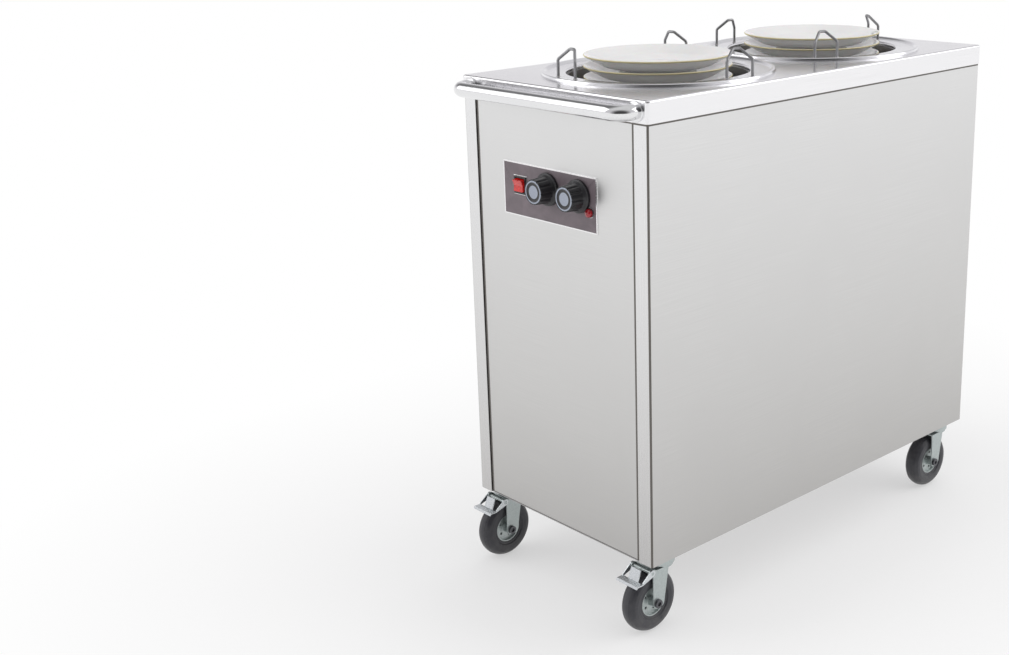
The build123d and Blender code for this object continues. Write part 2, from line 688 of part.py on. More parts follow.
# ---------------------------------------------------------------- carriers and springs
def make_carrier_plate(well):
    """The round platform under the stack, its edge turned down and its middle pierced."""
    rim_inner = CARRIER_RADIUS - CARRIER_SHEET
    disc = tube_between(CARRIER_HOLE_RADIUS, CARRIER_RADIUS, ARM_TOP, STACK_FOOT)
    rim = tube_between(rim_inner, CARRIER_RADIUS, STACK_FOOT - CARRIER_RIM_DEPTH, STACK_FOOT)
    plate = disc + rim
    for angle in arm_angles(well):
        notch = block(
            (rim_inner - SHEET, -ARM_WIDTH / 2 - FIT_GAP, STACK_FOOT - 2 * CARRIER_RIM_DEPTH),
            (CARRIER_RADIUS + SHEET, ARM_WIDTH / 2 + FIT_GAP, ARM_TOP),
        )
        plate -= Rot(0, 0, angle) * notch
    return Pos(0, WELLS[well], 0) * plate


def make_carrier_yoke(well):
    """Three arms out through the can's slots, a hanger down from each, and the ring they carry."""
    arm_base = ARM_TOP - ARM_THICKNESS
    ring_base = YOKE_RING_TOP - ARM_THICKNESS
    yoke = tube_between(YOKE_INNER, YOKE_OUTER, ring_base, YOKE_RING_TOP)
    half = ARM_WIDTH / 2
    for angle in arm_angles(well):
        arm = block((ARM_INNER_RADIUS, -half, arm_base), (YOKE_OUTER, half, ARM_TOP))
        drop = block(
            (YOKE_OUTER - ARM_THICKNESS, -half, ring_base), (YOKE_OUTER, half, ARM_TOP)
        )
        yoke += Rot(0, 0, angle) * (arm + drop)
    return Pos(0, WELLS[well], 0) * yoke


def make_carrier_glides(well):
    """A plastic block round each arm that runs in the can's slot."""
    half = SLOT_WIDTH / 2 - GLIDE_CLEARANCE
    arm_half = ARM_WIDTH / 2
    arm_base = ARM_TOP - ARM_THICKNESS
    start = CAN_OUTER - CAN_WALL / 2 - GLIDE_LENGTH / 2
    glide = block(
        (start, -half, GLIDE_TOP - GLIDE_HEIGHT), (start + GLIDE_LENGTH, half, GLIDE_TOP)
    ) - block(
        (start - 1, -arm_half, arm_base), (start + GLIDE_LENGTH + 1, arm_half, ARM_TOP)
    )
    return [
        Pos(0, WELLS[well], 0) * Rot(0, 0, angle) * glide for angle in arm_angles(well)
    ]


def make_springs(well):
    """Close-wound extension springs between the hangers and the carrier's ring."""
    low, high = YOKE_RING_TOP, HANGER_BOTTOM
    coil = tube_between(
        SPRING_RADIUS - SPRING_ROD, SPRING_RADIUS, low + SPRING_ROD_LENGTH, high - SPRING_ROD_LENGTH
    )
    for base, top in ((low, low + SPRING_ROD_LENGTH), (high - SPRING_ROD_LENGTH, high)):
        rod = Pos(0, 0, (base + top) / 2) * Cylinder(SPRING_ROD, top - base)
        inward = SPRING_ROD_LENGTH / 2 if base == low else -SPRING_ROD_LENGTH / 2
        cap_z = (top if base == low else base) + 0.1 * inward
        coil += rod + Pos(0, 0, cap_z) * Cylinder(SPRING_RADIUS, 2 * SPRING_ROD)
    springs = []
    for angle in spring_angles(well):
        x, y = polar(YOKE_MID, angle)
        springs.append(Pos(x, WELLS[well] + y, 0) * coil)
    return springs


def make_spring_hangers():
    """Angle brackets under the lid that the springs hang from."""
    hangers = []
    half = HANGER_WIDTH / 2
    inner = DECK_CUT_RADIUS + FIT_GAP
    for well, well_y in WELLS.items():
        for angle in spring_angles(well):
            outer = inner + HANGER_REACH
            bracket = block(
                (inner, -half, HANGER_BOTTOM), (outer, half, HANGER_BOTTOM + HANGER_SHEET)
            ) + block(
                (outer - HANGER_SHEET, -half, HANGER_BOTTOM), (outer, half, DECK_UNDERSIDE)
            )
            hangers.append(Pos(0, well_y, 0) * Rot(0, 0, angle) * bracket)
    return hangers


# ---------------------------------------------------------------- heating
def make_heating_elements():
    """A flat ring heater under each can."""
    ring = tube_between(
        HEATER_INNER_RADIUS, HEATER_OUTER_RADIUS, HEATER_HEIGHT, HEATER_HEIGHT + HEATER_THICKNESS
    )
    return [Pos(0, well_y, 0) * ring for well_y in WELLS.values()]


def make_heater_stands():
    """Bent feet from the pan to each ring heater."""
    stands = []
    half = HEATER_POST_WIDTH / 2
    outer = HEATER_OUTER_RADIUS - HEATER_POST_SHEET
    inner = outer - 2 * HEATER_POST_WIDTH
    post = (
        block((outer - HEATER_POST_SHEET, -half, PAN_TOP), (outer, half, HEATER_HEIGHT))
        + block((inner, -half, PAN_TOP), (outer, half, PAN_TOP + HEATER_POST_SHEET))
        + block((inner, -half, HEATER_HEIGHT - HEATER_POST_SHEET), (outer, half, HEATER_HEIGHT))
    )
    for well, well_y in WELLS.items():
        for angle in arm_angles(well):
            stands.append(Pos(0, well_y, 0) * Rot(0, 0, angle) * post)
    return stands


# ---------------------------------------------------------------- controls
CONTROL_FACE_Y = -END_FACE_Y - CONTROL_SHEET
INSIDE_FACE_Y = -END_FACE_Y + SHEET
KNOB_BACK_Y = CONTROL_FACE_Y - KNOB_PANEL_GAP


def lamp_body_radius():
    return LAMP_LENS_RADIUS - LAMP_BEZEL_DEPTH


def switch_body_half():
    """Half the width and height of the switch's body, which holds the rocker with room to tilt."""
    swing = hypot(ROCKER_HEIGHT / 2, ROCKER_PROUD)
    return (
        ROCKER_WIDTH / 2 + ROCKER_CLEARANCE + SWITCH_WALL,
        swing + ROCKER_CLEARANCE + SWITCH_WALL,
    )


def make_control_plate():
    """The coloured plate behind the controls."""
    plate = extrude(
        RectangleRounded(CONTROL_WIDTH, CONTROL_HEIGHT, CONTROL_CORNER), CONTROL_SHEET
    )
    plate = Pos(CONTROL_CENTRE_X, -END_FACE_Y, DECK_HEIGHT - CONTROL_DROP) * Rot(90, 0, 0) * plate
    return plate - control_cutters((CONTROL_FACE_Y - SHEET, -END_FACE_Y + SHEET))


def knob_outline():
    """Half of a knob's section: skirt, shoulder, tapered grip and the recess for its cap."""
    grip_base = KNOB_SKIRT_DEPTH + KNOB_SHOULDER
    tip = KNOB_GRIP_RADIUS - KNOB_GRIP_TAPER
    return Polyline(
        (0, 0),
        (KNOB_SKIRT_RADIUS, 0),
        (KNOB_SKIRT_RADIUS, KNOB_SKIRT_DEPTH - 1.5),
        (KNOB_SKIRT_RADIUS - 1.5, KNOB_SKIRT_DEPTH),
        (KNOB_GRIP_RADIUS + KNOB_SHOULDER / 2, grip_base - KNOB_SHOULDER / 3),
        (KNOB_GRIP_RADIUS, grip_base),
        (tip, KNOB_LENGTH - 1),
        (tip - 1, KNOB_LENGTH),
        (KNOB_CAP_RADIUS, KNOB_LENGTH),
        (KNOB_CAP_RADIUS, KNOB_LENGTH - KNOB_CAP_DEPTH),
        (0, KNOB_LENGTH - KNOB_CAP_DEPTH),
        close=True,
    )


def make_knob(well):
    """A thermostat knob with its spindle, which reaches through the panel."""
    knob = upright(knob_outline())
    groove_height = KNOB_LENGTH - KNOB_SKIRT_DEPTH - KNOB_SHOULDER
    for n in range(KNOB_FLUTES):
        x, y = polar(KNOB_GRIP_RADIUS + KNOB_FLUTE_RADIUS / 2, 360.0 * n / KNOB_FLUTES)
        z = KNOB_LENGTH + 1 - groove_height / 2
        knob -= Pos(x, y, z) * Cylinder(KNOB_FLUTE_RADIUS, groove_height)
    spindle_length = INSIDE_FACE_Y - KNOB_BACK_Y - FIT_GAP
    knob += Pos(0, 0, -spindle_length / 2) * Cylinder(SPINDLE_RADIUS, spindle_length)
    place = Pos(KNOB_X[well], KNOB_BACK_Y, DECK_HEIGHT - KNOB_DROP)
    return place * Rot(90, 0, 0) * knob


def make_knob_cap(well):
    """The bright dished cap let into a knob's face."""
    radius = KNOB_CAP_RADIUS - KNOB_CAP_FIT
    dish = radius - KNOB_CAP_LAND
    depth = KNOB_CAP_DEPTH
    outline = Polyline((-dish, depth), (-radius, depth), (-radius, 0), (radius, 0), (radius, depth))
    outline += Line((radius, depth), (dish, depth))
    outline += ThreePointArc((dish, depth), (0, depth - KNOB_CAP_DISH), (-dish, depth))
    base_y = KNOB_BACK_Y - (KNOB_LENGTH - KNOB_CAP_DEPTH)
    place = Pos(KNOB_X[well], base_y, DECK_HEIGHT - KNOB_DROP)
    return place * Rot(90, 0, 0) * turned_half(outline)


def make_thermostats():
    """The thermostats behind the front panel, one for each well."""
    half = THERMOSTAT_WIDTH / 2
    bodies = []
    for x in KNOB_X.values():
        z = DECK_HEIGHT - KNOB_DROP
        body = block(
            (x - half, INSIDE_FACE_Y, z - half), (x + half, INSIDE_FACE_Y + THERMOSTAT_DEPTH, z + half)
        )
        body = fillet(body.edges().filter_by(Axis.Y), PANEL_BEND)
        bodies.append(body)
    return bodies


def make_switch_housing():
    """The switch's bezel and body, open in front for the rocker."""
    z = DECK_HEIGHT - SWITCH_DROP
    bezel_x, bezel_z, bezel_y = SWITCH_BEZEL
    half_x, half_z = switch_body_half()
    bezel_half_z = max(bezel_z / 2, half_z + SWITCH_WALL)
    back = CONTROL_FACE_Y + SWITCH_BODY_DEPTH
    housing = block(
        (SWITCH_X - bezel_x / 2, CONTROL_FACE_Y - bezel_y, z - bezel_half_z),
        (SWITCH_X + bezel_x / 2, CONTROL_FACE_Y, z + bezel_half_z),
    )
    housing = fillet(housing.edges().filter_by(Axis.Y), SHEET)
    housing += block(
        (SWITCH_X - half_x, CONTROL_FACE_Y, z - half_z), (SWITCH_X + half_x, back, z + half_z)
    )
    room_x, room_z = half_x - SWITCH_WALL, half_z - SWITCH_WALL
    return housing - block(
        (SWITCH_X - room_x, CONTROL_FACE_Y - 2 * bezel_y, z - room_z),
        (SWITCH_X + room_x, back - SWITCH_WALL, z + room_z),
    )


ROCKER_AXIS_Y = CONTROL_FACE_Y - SWITCH_BEZEL[2]


def make_rocker():
    """The red rocker, dipped in the middle, lying on one of its two stops."""
    half = ROCKER_HEIGHT / 2
    outline = Polyline(
        (-half, -ROCKER_PROUD),
        (-half, ROCKER_PROUD),
        (0, ROCKER_PROUD - ROCKER_DIP),
        (half, ROCKER_PROUD),
        (half, -ROCKER_PROUD),
        close=True,
    )
    face_plane = Plane(origin=(0, 0, 0), x_dir=(0, 0, 1), z_dir=(1, 0, 0))
    rocker = extrude(face_plane * make_face(outline), ROCKER_WIDTH / 2, both=True)
    place = Pos(SWITCH_X, ROCKER_AXIS_Y, DECK_HEIGHT - SWITCH_DROP)
    return place * Rot(ROCKER_TILT, 0, 0) * rocker


def make_lamp_bezel():
    """The pilot lamp's bezel and body."""
    bezel = Cylinder(LAMP_BEZEL_RADIUS, LAMP_BEZEL_DEPTH)
    body = Pos(0, 0, -(LAMP_BODY_LENGTH + LAMP_BEZEL_DEPTH) / 2) * Cylinder(
        lamp_body_radius(), LAMP_BODY_LENGTH
    )
    lamp = Pos(0, 0, LAMP_BEZEL_DEPTH / 2) * (bezel + body)
    return Pos(LAMP_X, CONTROL_FACE_Y, DECK_HEIGHT - LAMP_DROP) * Rot(90, 0, 0) * lamp


def make_lamp_lens():
    """The lamp's domed lens, seated on its bezel."""
    radius = LAMP_LENS_RADIUS
    wall = LAMP_LENS_PROUD / 3
    outline = Polyline((-radius, wall), (-radius, 0), (radius, 0), (radius, wall))
    outline += ThreePointArc((radius, wall), (0, LAMP_LENS_PROUD), (-radius, wall))
    place = Pos(LAMP_X, CONTROL_FACE_Y - LAMP_BEZEL_DEPTH, DECK_HEIGHT - LAMP_DROP)
    return place * Rot(90, 0, 0) * turned_half(outline)


# ---------------------------------------------------------------- casters
# A caster is drawn about its swivel axis, with its wheel trailing towards -Y.
def make_caster_heads():
    """The fixed upper race of each caster, with its kingpin riveted below the fork's crown."""
    skirt_inner = HEAD_RADIUS - HEAD_SKIRT
    skirt_base = (CROWN_TOP + RACE_TOP) / 2
    rivet_top = CROWN_BASE - RIVET_GAP
    thread_base = CABINET_BASE - MOUNT_BOLT_GRIP
    outline = Polyline(
        (0, rivet_top - RIVET_HEIGHT),
        (RIVET_RADIUS, rivet_top - RIVET_HEIGHT),
        (RIVET_RADIUS, rivet_top),
        (KINGPIN_RADIUS, rivet_top),
        (KINGPIN_RADIUS, HEAD_BASE),
        (skirt_inner, HEAD_BASE),
        (skirt_inner, skirt_base),
        (HEAD_RADIUS, skirt_base),
        (HEAD_RADIUS, CABINET_BASE - HEAD_SKIRT),
        (HEAD_RADIUS - HEAD_SKIRT, CABINET_BASE),
        (MOUNT_BOLT_RADIUS, CABINET_BASE),
        (MOUNT_BOLT_RADIUS, thread_base),
        (0, thread_base),
        close=True,
    )
    head = upright(outline)
    return [Pos(x, y, 0) * head for x, y in CASTERS.values()]


def make_caster_mount_bolts():
    """The bolt down through the chassis rail and the pan into each caster's head."""
    low = CABINET_BASE - MOUNT_BOLT_GRIP
    shank = Pos(0, 0, (low + RAIL_TOP) / 2) * Cylinder(MOUNT_BOLT_RADIUS, RAIL_TOP - low)
    head = RegularPolygon(MOUNT_BOLT_HEAD / 2, 6, major_radius=False)
    bolt = shank + Pos(0, 0, RAIL_TOP) * extrude(head, MOUNT_BOLT_HEAD_HEIGHT)
    return [Pos(x, y, 0) * bolt for x, y in CASTERS.values()]


def side_plane(x):
    """A plane facing +X whose own X is the cart's +Y and whose own Y is up."""
    return Plane(origin=(x, 0, 0), x_dir=(0, 1, 0), z_dir=(1, 0, 0))


def across(outline_face, half_width):
    """Extrudes a face drawn as (Y, Z) to both sides of the caster's middle plane."""
    return extrude(side_plane(0) * outline_face, half_width, both=True)


def fork_side():
    """A fork leg's outline: a broad round foot at the axle, upright in front, splayed behind."""
    foot = Pos(-CASTER_TRAIL, WHEEL_RADIUS) * Circle(FORK_FOOT_RADIUS)
    heel = Pos(-CASTER_TRAIL + FORK_FOOT_BACK, WHEEL_RADIUS) * Circle(FORK_FOOT_RADIUS)
    top = Line((-CROWN_FRONT, CROWN_TOP), (FORK_CROWN_REAR, CROWN_TOP))
    return make_hull(foot.edges() + heel.edges() + top.edges())


def brake_ear():
    """The ear that carries a brake pedal's pin, ahead of the fork leg."""
    pin = Pos(BRAKE_PIN_Y, BRAKE_PIN_Z) * Circle(BRAKE_EAR_RADIUS)
    root = Line(
        (-CASTER_TRAIL, CROWN_TOP - BRAKE_EAR_DEPTH), (-CASTER_TRAIL, CROWN_TOP)
    )
    return make_hull(pin.edges() + root.edges())


def make_fork(braked):
    """The swivelling fork with its lower race, and on a braked caster the ears and brake pin."""
    width = 2 * FORK_OUTER_HALF
    fork = across(fork_side(), FORK_OUTER_HALF)
    crown = Pos(0, 0, CROWN_BASE + FORK_SHEET / 2) * Cylinder(RACE_RADIUS, FORK_SHEET)
    fork += crown & block((-width, -RACE_RADIUS, CROWN_BASE), (width, RACE_RADIUS, CROWN_TOP))
    fork -= block(
        (-FORK_INNER_HALF, -2 * WHEEL_RADIUS, -WHEEL_RADIUS),
        (FORK_INNER_HALF, 2 * WHEEL_RADIUS, CROWN_BASE),
    )
    if braked:
        ears = across(brake_ear(), FORK_OUTER_HALF)
        fork += ears - across(make_face(Polyline(*fork_gap(), close=True)), FORK_INNER_HALF)
        fork += along_x(BRAKE_PIN_RADIUS, -CHEEK_OUTER, CHEEK_OUTER, BRAKE_PIN_Y, BRAKE_PIN_Z)
    fork += tube_between(KINGPIN_RADIUS, RACE_RADIUS, CROWN_TOP, RACE_TOP)
    fork -= Pos(0, 0, CROWN_TOP) * Cylinder(
        KINGPIN_RADIUS + KINGPIN_RUNNING_GAP, 4 * (RACE_HEIGHT + FORK_SHEET)
    )
    fork -= along_x(AXLE_RADIUS, -width, width, -CASTER_TRAIL, WHEEL_RADIUS)
    return fork


def fork_gap():
    """The outline of the space between the two brake ears."""
    high = CROWN_TOP + 2 * BRAKE_EAR_RADIUS
    return [
        (-CASTER_TRAIL, CROWN_TOP - 2 * BRAKE_EAR_DEPTH),
        (-CASTER_TRAIL, CROWN_BASE),
        (-CROWN_FRONT, CROWN_BASE),
        (-CROWN_FRONT, high),
        (BRAKE_PIN_Y - 2 * BRAKE_EAR_RADIUS, high),
        (BRAKE_PIN_Y - 2 * BRAKE_EAR_RADIUS, CROWN_TOP - 2 * BRAKE_EAR_DEPTH),
    ]


def make_axle():
    """The axle bolt, socket head on the +X side and nut on the other."""
    head = FORK_OUTER_HALF + AXLE_HEAD_LENGTH
    bolt = along_x(AXLE_RADIUS, -FORK_OUTER_HALF, FORK_OUTER_HALF)
    bolt += along_x(AXLE_HEAD_RADIUS, FORK_OUTER_HALF, head)
    socket = extrude(RegularPolygon(AXLE_SOCKET / 2, 6, major_radius=False), 2 * AXLE_SOCKET_DEPTH)
    bolt -= Pos(head - AXLE_SOCKET_DEPTH, 0, 0) * Rot(0, 90, 0) * socket
    nut = extrude(RegularPolygon(AXLE_NUT / 2, 6, major_radius=False), AXLE_HEAD_LENGTH)
    bolt += Pos(-head, 0, 0) * Rot(0, 90, 0) * nut
    return Pos(0, -CASTER_TRAIL, WHEEL_RADIUS) * bolt


def wheel_solid(outline):
    """Revolves an outline drawn as (radius, offset along the axle) about a wheel's axle."""
    turned = revolve(Plane.XZ * make_face(outline), Axis.Z)
    return Pos(0, -CASTER_TRAIL, WHEEL_RADIUS) * Rot(0, 90, 0) * turned


def make_tyre():
    """The rubber tyre, with rounded flanks and a tread that is one arc across."""
    half = WHEEL_WIDTH / 2
    shoulder = WHEEL_RADIUS - TYRE_SHOULDER
    flank = HUB_RADIUS + TYRE_FLANK
    outline = Polyline((HUB_RADIUS, -HUB_HALF_WIDTH), (HUB_RADIUS, HUB_HALF_WIDTH), (flank, half))
    outline += Line((flank, half), (shoulder, half))
    outline += ThreePointArc((shoulder, half), (WHEEL_RADIUS, 0), (shoulder, -half))
    outline += Polyline((shoulder, -half), (flank, -half), (HUB_RADIUS, -HUB_HALF_WIDTH))
    return wheel_solid(outline)


def make_hub():
    """The pressed hub: rim, dished web with lightening holes, and boss."""
    bore = AXLE_RADIUS + AXLE_RUNNING_GAP
    boss_half = FORK_INNER_HALF - HUB_SIDE_PLAY
    rim_inner = HUB_RADIUS - HUB_RIM
    upper = [
        (bore, boss_half),
        (HUB_BOSS_RADIUS - 2, boss_half),
        (HUB_BOSS_RADIUS, HUB_WEB_HALF),
        (rim_inner, HUB_WEB_HALF),
        (rim_inner + 1, HUB_HALF_WIDTH),
        (HUB_RADIUS, HUB_HALF_WIDTH),
    ]
    lower = [(radius, -offset) for radius, offset in reversed(upper)]
    hub = wheel_solid(Polyline(*upper, *lower, close=True))
    ring = (HUB_BOSS_RADIUS + rim_inner) / 2
    for n in range(HUB_HOLES):
        y, z = polar(ring, 360.0 * n / HUB_HOLES)
        hub -= along_x(
            HUB_HOLE_RADIUS, -FORK_INNER_HALF, FORK_INNER_HALF, y - CASTER_TRAIL, z + WHEEL_RADIUS
        )
    return hub


def make_brake_pedal():
    """The brake pedal: two cheeks on the pin, a tongue to press and a wing to release."""
    y, z = BRAKE_PIN_Y, BRAKE_PIN_Z
    root_y, root_z = y - PEDAL_TONGUE_REACH, z - PEDAL_TONGUE_DROP
    pivot = Pos(y, z) * Circle(PEDAL_CHEEK_RADIUS)
    toe = Line((root_y, root_z), (root_y, root_z + 2 * PEDAL_SHEET))
    cheek = make_hull(pivot.edges() + toe.edges())
    pedal = across(cheek, CHEEK_OUTER) - across(cheek, CHEEK_INNER)
    front = root_y - PEDAL_TONGUE_LENGTH
    tongue = Polyline(
        (root_y, root_z),
        (root_y, root_z + PEDAL_SHEET),
        (front, root_z + PEDAL_SHEET),
        (front - PEDAL_SHEET, root_z + PEDAL_SHEET - PEDAL_LIP),
        (front, root_z + PEDAL_SHEET - PEDAL_LIP),
        (front, root_z),
        close=True,
    )
    pedal += across(make_face(tongue), CHEEK_OUTER)
    wing = Polyline(
        (root_y, root_z),
        (root_y, root_z + PEDAL_SHEET),
        (root_y + WING_REACH - PEDAL_SHEET, z + WING_HEIGHT),
        (root_y + WING_REACH, z + WING_HEIGHT),
        (root_y + PEDAL_SHEET, root_z),
        close=True,
    )
    pedal += across(make_face(wing), WING_WIDTH / 2)
    pin_room = BRAKE_PIN_RADIUS + AXLE_RUNNING_GAP
    return pedal - along_x(pin_room, -2 * CHEEK_OUTER, 2 * CHEEK_OUTER, y, z)


# ---------------------------------------------------------------- the whole cart
def gather_nodes():
    """Every piece of the cart by name, about the middle of the cabinet."""
    nodes = {
        "lid": make_lid(),
        "side_panel_right": make_side_panel(1),
        "side_panel_left": make_side_panel(-1),
        "front_panel": make_front_panel(),
        "rear_panel": make_rear_panel(),
        "base_pan": make_base_pan(),
        "chassis_frame": make_chassis_frame(),
        "caster_heads": make_caster_heads(),
        "caster_mount_bolts": make_caster_mount_bolts(),
        "handle_tube": make_handle_tube(),
        "handle_flanges": make_handle_flanges(),
        "handle_screws": make_handle_screws(),
        "spring_hangers": make_spring_hangers(),
        "heating_elements": make_heating_elements(),
        "heater_stands": make_heater_stands(),
        "thermostats": make_thermostats(),
        "control_plate": make_control_plate(),
        "switch_housing": make_switch_housing(),
        "switch_rocker": make_rocker(),
        "lamp_bezel": make_lamp_bezel(),
        "lamp_lens": make_lamp_lens(),
        "cable_gland": make_cable_gland(),
    }
    for well in WELLS:
        nodes["well_ring_" + well] = make_well_ring(well)
        nodes["well_can_" + well] = make_well_can(well)
        nodes["plate_guides_" + well] = make_plate_guides(well)
        nodes["plates_" + well] = make_plates(well)
        nodes["carrier_plate_" + well] = make_carrier_plate(well)
        nodes["carrier_yoke_" + well] = make_carrier_yoke(well)
        nodes["carrier_glides_" + well] = make_carrier_glides(well)
        nodes["springs_" + well] = make_springs(well)
        nodes["knob_" + well] = make_knob(well)
        nodes["knob_cap_" + well] = make_knob_cap(well)
    plain_fork = make_fork(False)
    braked_fork = make_fork(True)
    pedal = make_brake_pedal()
    axle, tyre, hub = make_axle(), make_tyre(), make_hub()
    for corner, (x, y) in CASTERS.items():
        place = Pos(x, y, 0)
        nodes["caster_fork_" + corner] = place * (braked_fork if corner in BRAKED else plain_fork)
        nodes["caster_axle_" + corner] = place * axle
        nodes["caster_tyre_" + corner] = place * tyre
        nodes["caster_hub_" + corner] = place * hub
        if corner in BRAKED:
            nodes["brake_pedal_" + corner] = place * pedal
    return nodes


def write_nodes():
    """Writes one file for each piece, moved so that the origin is under the cart's outline."""
    os.makedirs("parts", exist_ok=True)
    shift = Pos(0, CABINET_Y, 0)
    for name, shape in gather_nodes().items():
        pieces = shape if isinstance(shape, list) else [shape]
        solids = [solid for piece in pieces for solid in (shift * piece).solids()]
        whole = solids[0] if len(solids) == 1 else Compound(children=solids)
        whole.label = name
        export_step(whole, "parts/" + name + ".step")


write_nodes()
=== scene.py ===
import json
import logging
from abc import ABC, abstractmethod
from dataclasses import dataclass
from enum import Enum
from math import cos, pi, radians, sin, tan, tau
from typing import Callable, Sequence

import bmesh
import bpy
from mathutils import Matrix, Vector

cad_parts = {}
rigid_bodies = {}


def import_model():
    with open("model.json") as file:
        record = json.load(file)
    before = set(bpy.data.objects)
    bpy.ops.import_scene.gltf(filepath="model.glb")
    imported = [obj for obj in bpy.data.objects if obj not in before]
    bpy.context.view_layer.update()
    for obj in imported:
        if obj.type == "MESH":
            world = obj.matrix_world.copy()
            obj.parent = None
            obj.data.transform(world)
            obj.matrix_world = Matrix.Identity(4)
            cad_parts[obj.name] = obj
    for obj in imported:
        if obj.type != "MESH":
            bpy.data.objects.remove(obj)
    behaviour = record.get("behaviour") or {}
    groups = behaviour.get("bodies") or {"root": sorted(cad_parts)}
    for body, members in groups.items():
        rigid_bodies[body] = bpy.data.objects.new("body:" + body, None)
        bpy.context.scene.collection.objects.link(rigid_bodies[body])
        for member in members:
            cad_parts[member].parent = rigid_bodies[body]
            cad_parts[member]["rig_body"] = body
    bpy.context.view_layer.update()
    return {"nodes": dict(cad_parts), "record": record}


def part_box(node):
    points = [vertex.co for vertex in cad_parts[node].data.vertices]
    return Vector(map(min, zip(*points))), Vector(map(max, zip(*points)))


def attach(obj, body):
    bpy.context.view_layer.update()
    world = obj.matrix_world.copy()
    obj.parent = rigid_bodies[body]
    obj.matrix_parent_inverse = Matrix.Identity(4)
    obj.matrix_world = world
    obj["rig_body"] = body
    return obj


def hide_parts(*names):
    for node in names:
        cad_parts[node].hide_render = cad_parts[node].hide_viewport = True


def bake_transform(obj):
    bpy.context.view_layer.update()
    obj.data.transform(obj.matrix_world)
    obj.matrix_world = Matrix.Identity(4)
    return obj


# The looks of a heated two-well plate dispenser cart, in metres, in the frame of its solids:
# +Z is up, the operator's end faces -Y and X runs across the cart.

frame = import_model()

MM = 0.001
LOG = logging.getLogger("cart")

Colour = tuple[float, float, float]
Triple = tuple[float, float, float]
Point = tuple[float, float]
Outline = list[Point]

CORNERS = ("front_right", "front_left", "rear_right", "rear_left")
BRAKED = ("front_right", "front_left")
CABINET_BODY = "cabinet"

# Names of mesh layers: the map along a turned outline, and the mark of a plate's gold line.
TURNED_MAP = "turned"
GILT_ATTRIBUTE = "gilt"


# ------------------------------------------------------------------ choices
class Facing(Enum):
    """The way that a piece's own axis points."""

    UP = (0.0, 0.0, 1.0)
    RIGHT = (1.0, 0.0, 0.0)
    FORWARD = (0.0, -1.0, 0.0)
    REARWARD = (0.0, 1.0, 0.0)

    def turn(self) -> Matrix:
        """The turn that brings a piece's own Z to this direction."""
        return Vector((0, 0, 1)).rotation_difference(Vector(self.value)).to_matrix().to_4x4()


class Surface(Enum):
    """Every finish on the cart, by the name of its material."""

    SIDE_SHEET = "brushed_side_sheet"
    STRIP_SHEET = "bright_corner_strip"
    END_SHEET = "brushed_end_sheet"
    # Dark steel that stands for shade: painted shade in the gaps beside the end panels and under
    # the lid's lip, and a painted dark reflection on the corner bends.
    PAINTED_SHADE = "painted_shade_steel"
    LID_SHEET = "polished_lid_sheet"
    TUBE = "polished_handle_tube"
    RING = "spun_ring_steel"
    WIRE = "drawn_guide_wire"
    INNER = "mill_finish_steel"
    ZINC = "zinc_plate"
    ZINC_BRIGHT = "bright_zinc_plate"
    FASTENER = "dark_fastener_steel"
    SPRING = "spring_wire"
    CHINA = "glazed_china"
    GILT = "gold_rim_line"
    NYLON = "natural_nylon"
    PANEL_FACE = "mauve_control_enamel"
    PANEL_EDGE = "bare_plate_edge"
    BLACK = "black_moulding"
    DIAL_INK = "grey_dial_ink"
    CAP = "spun_cap_metal"
    ROCKER_RED = "red_rocker_moulding"
    LENS_RED = "red_lamp_lens"
    RUBBER = "charcoal_rubber"
    HEATER = "heat_tinted_steel"


# ------------------------------------------------------------------ node trees
# Where a mix node keeps its factor, its two colours and its result.
MIX_FACTOR, MIX_FIRST, MIX_SECOND, MIX_RESULT = 0, 6, 7, 2


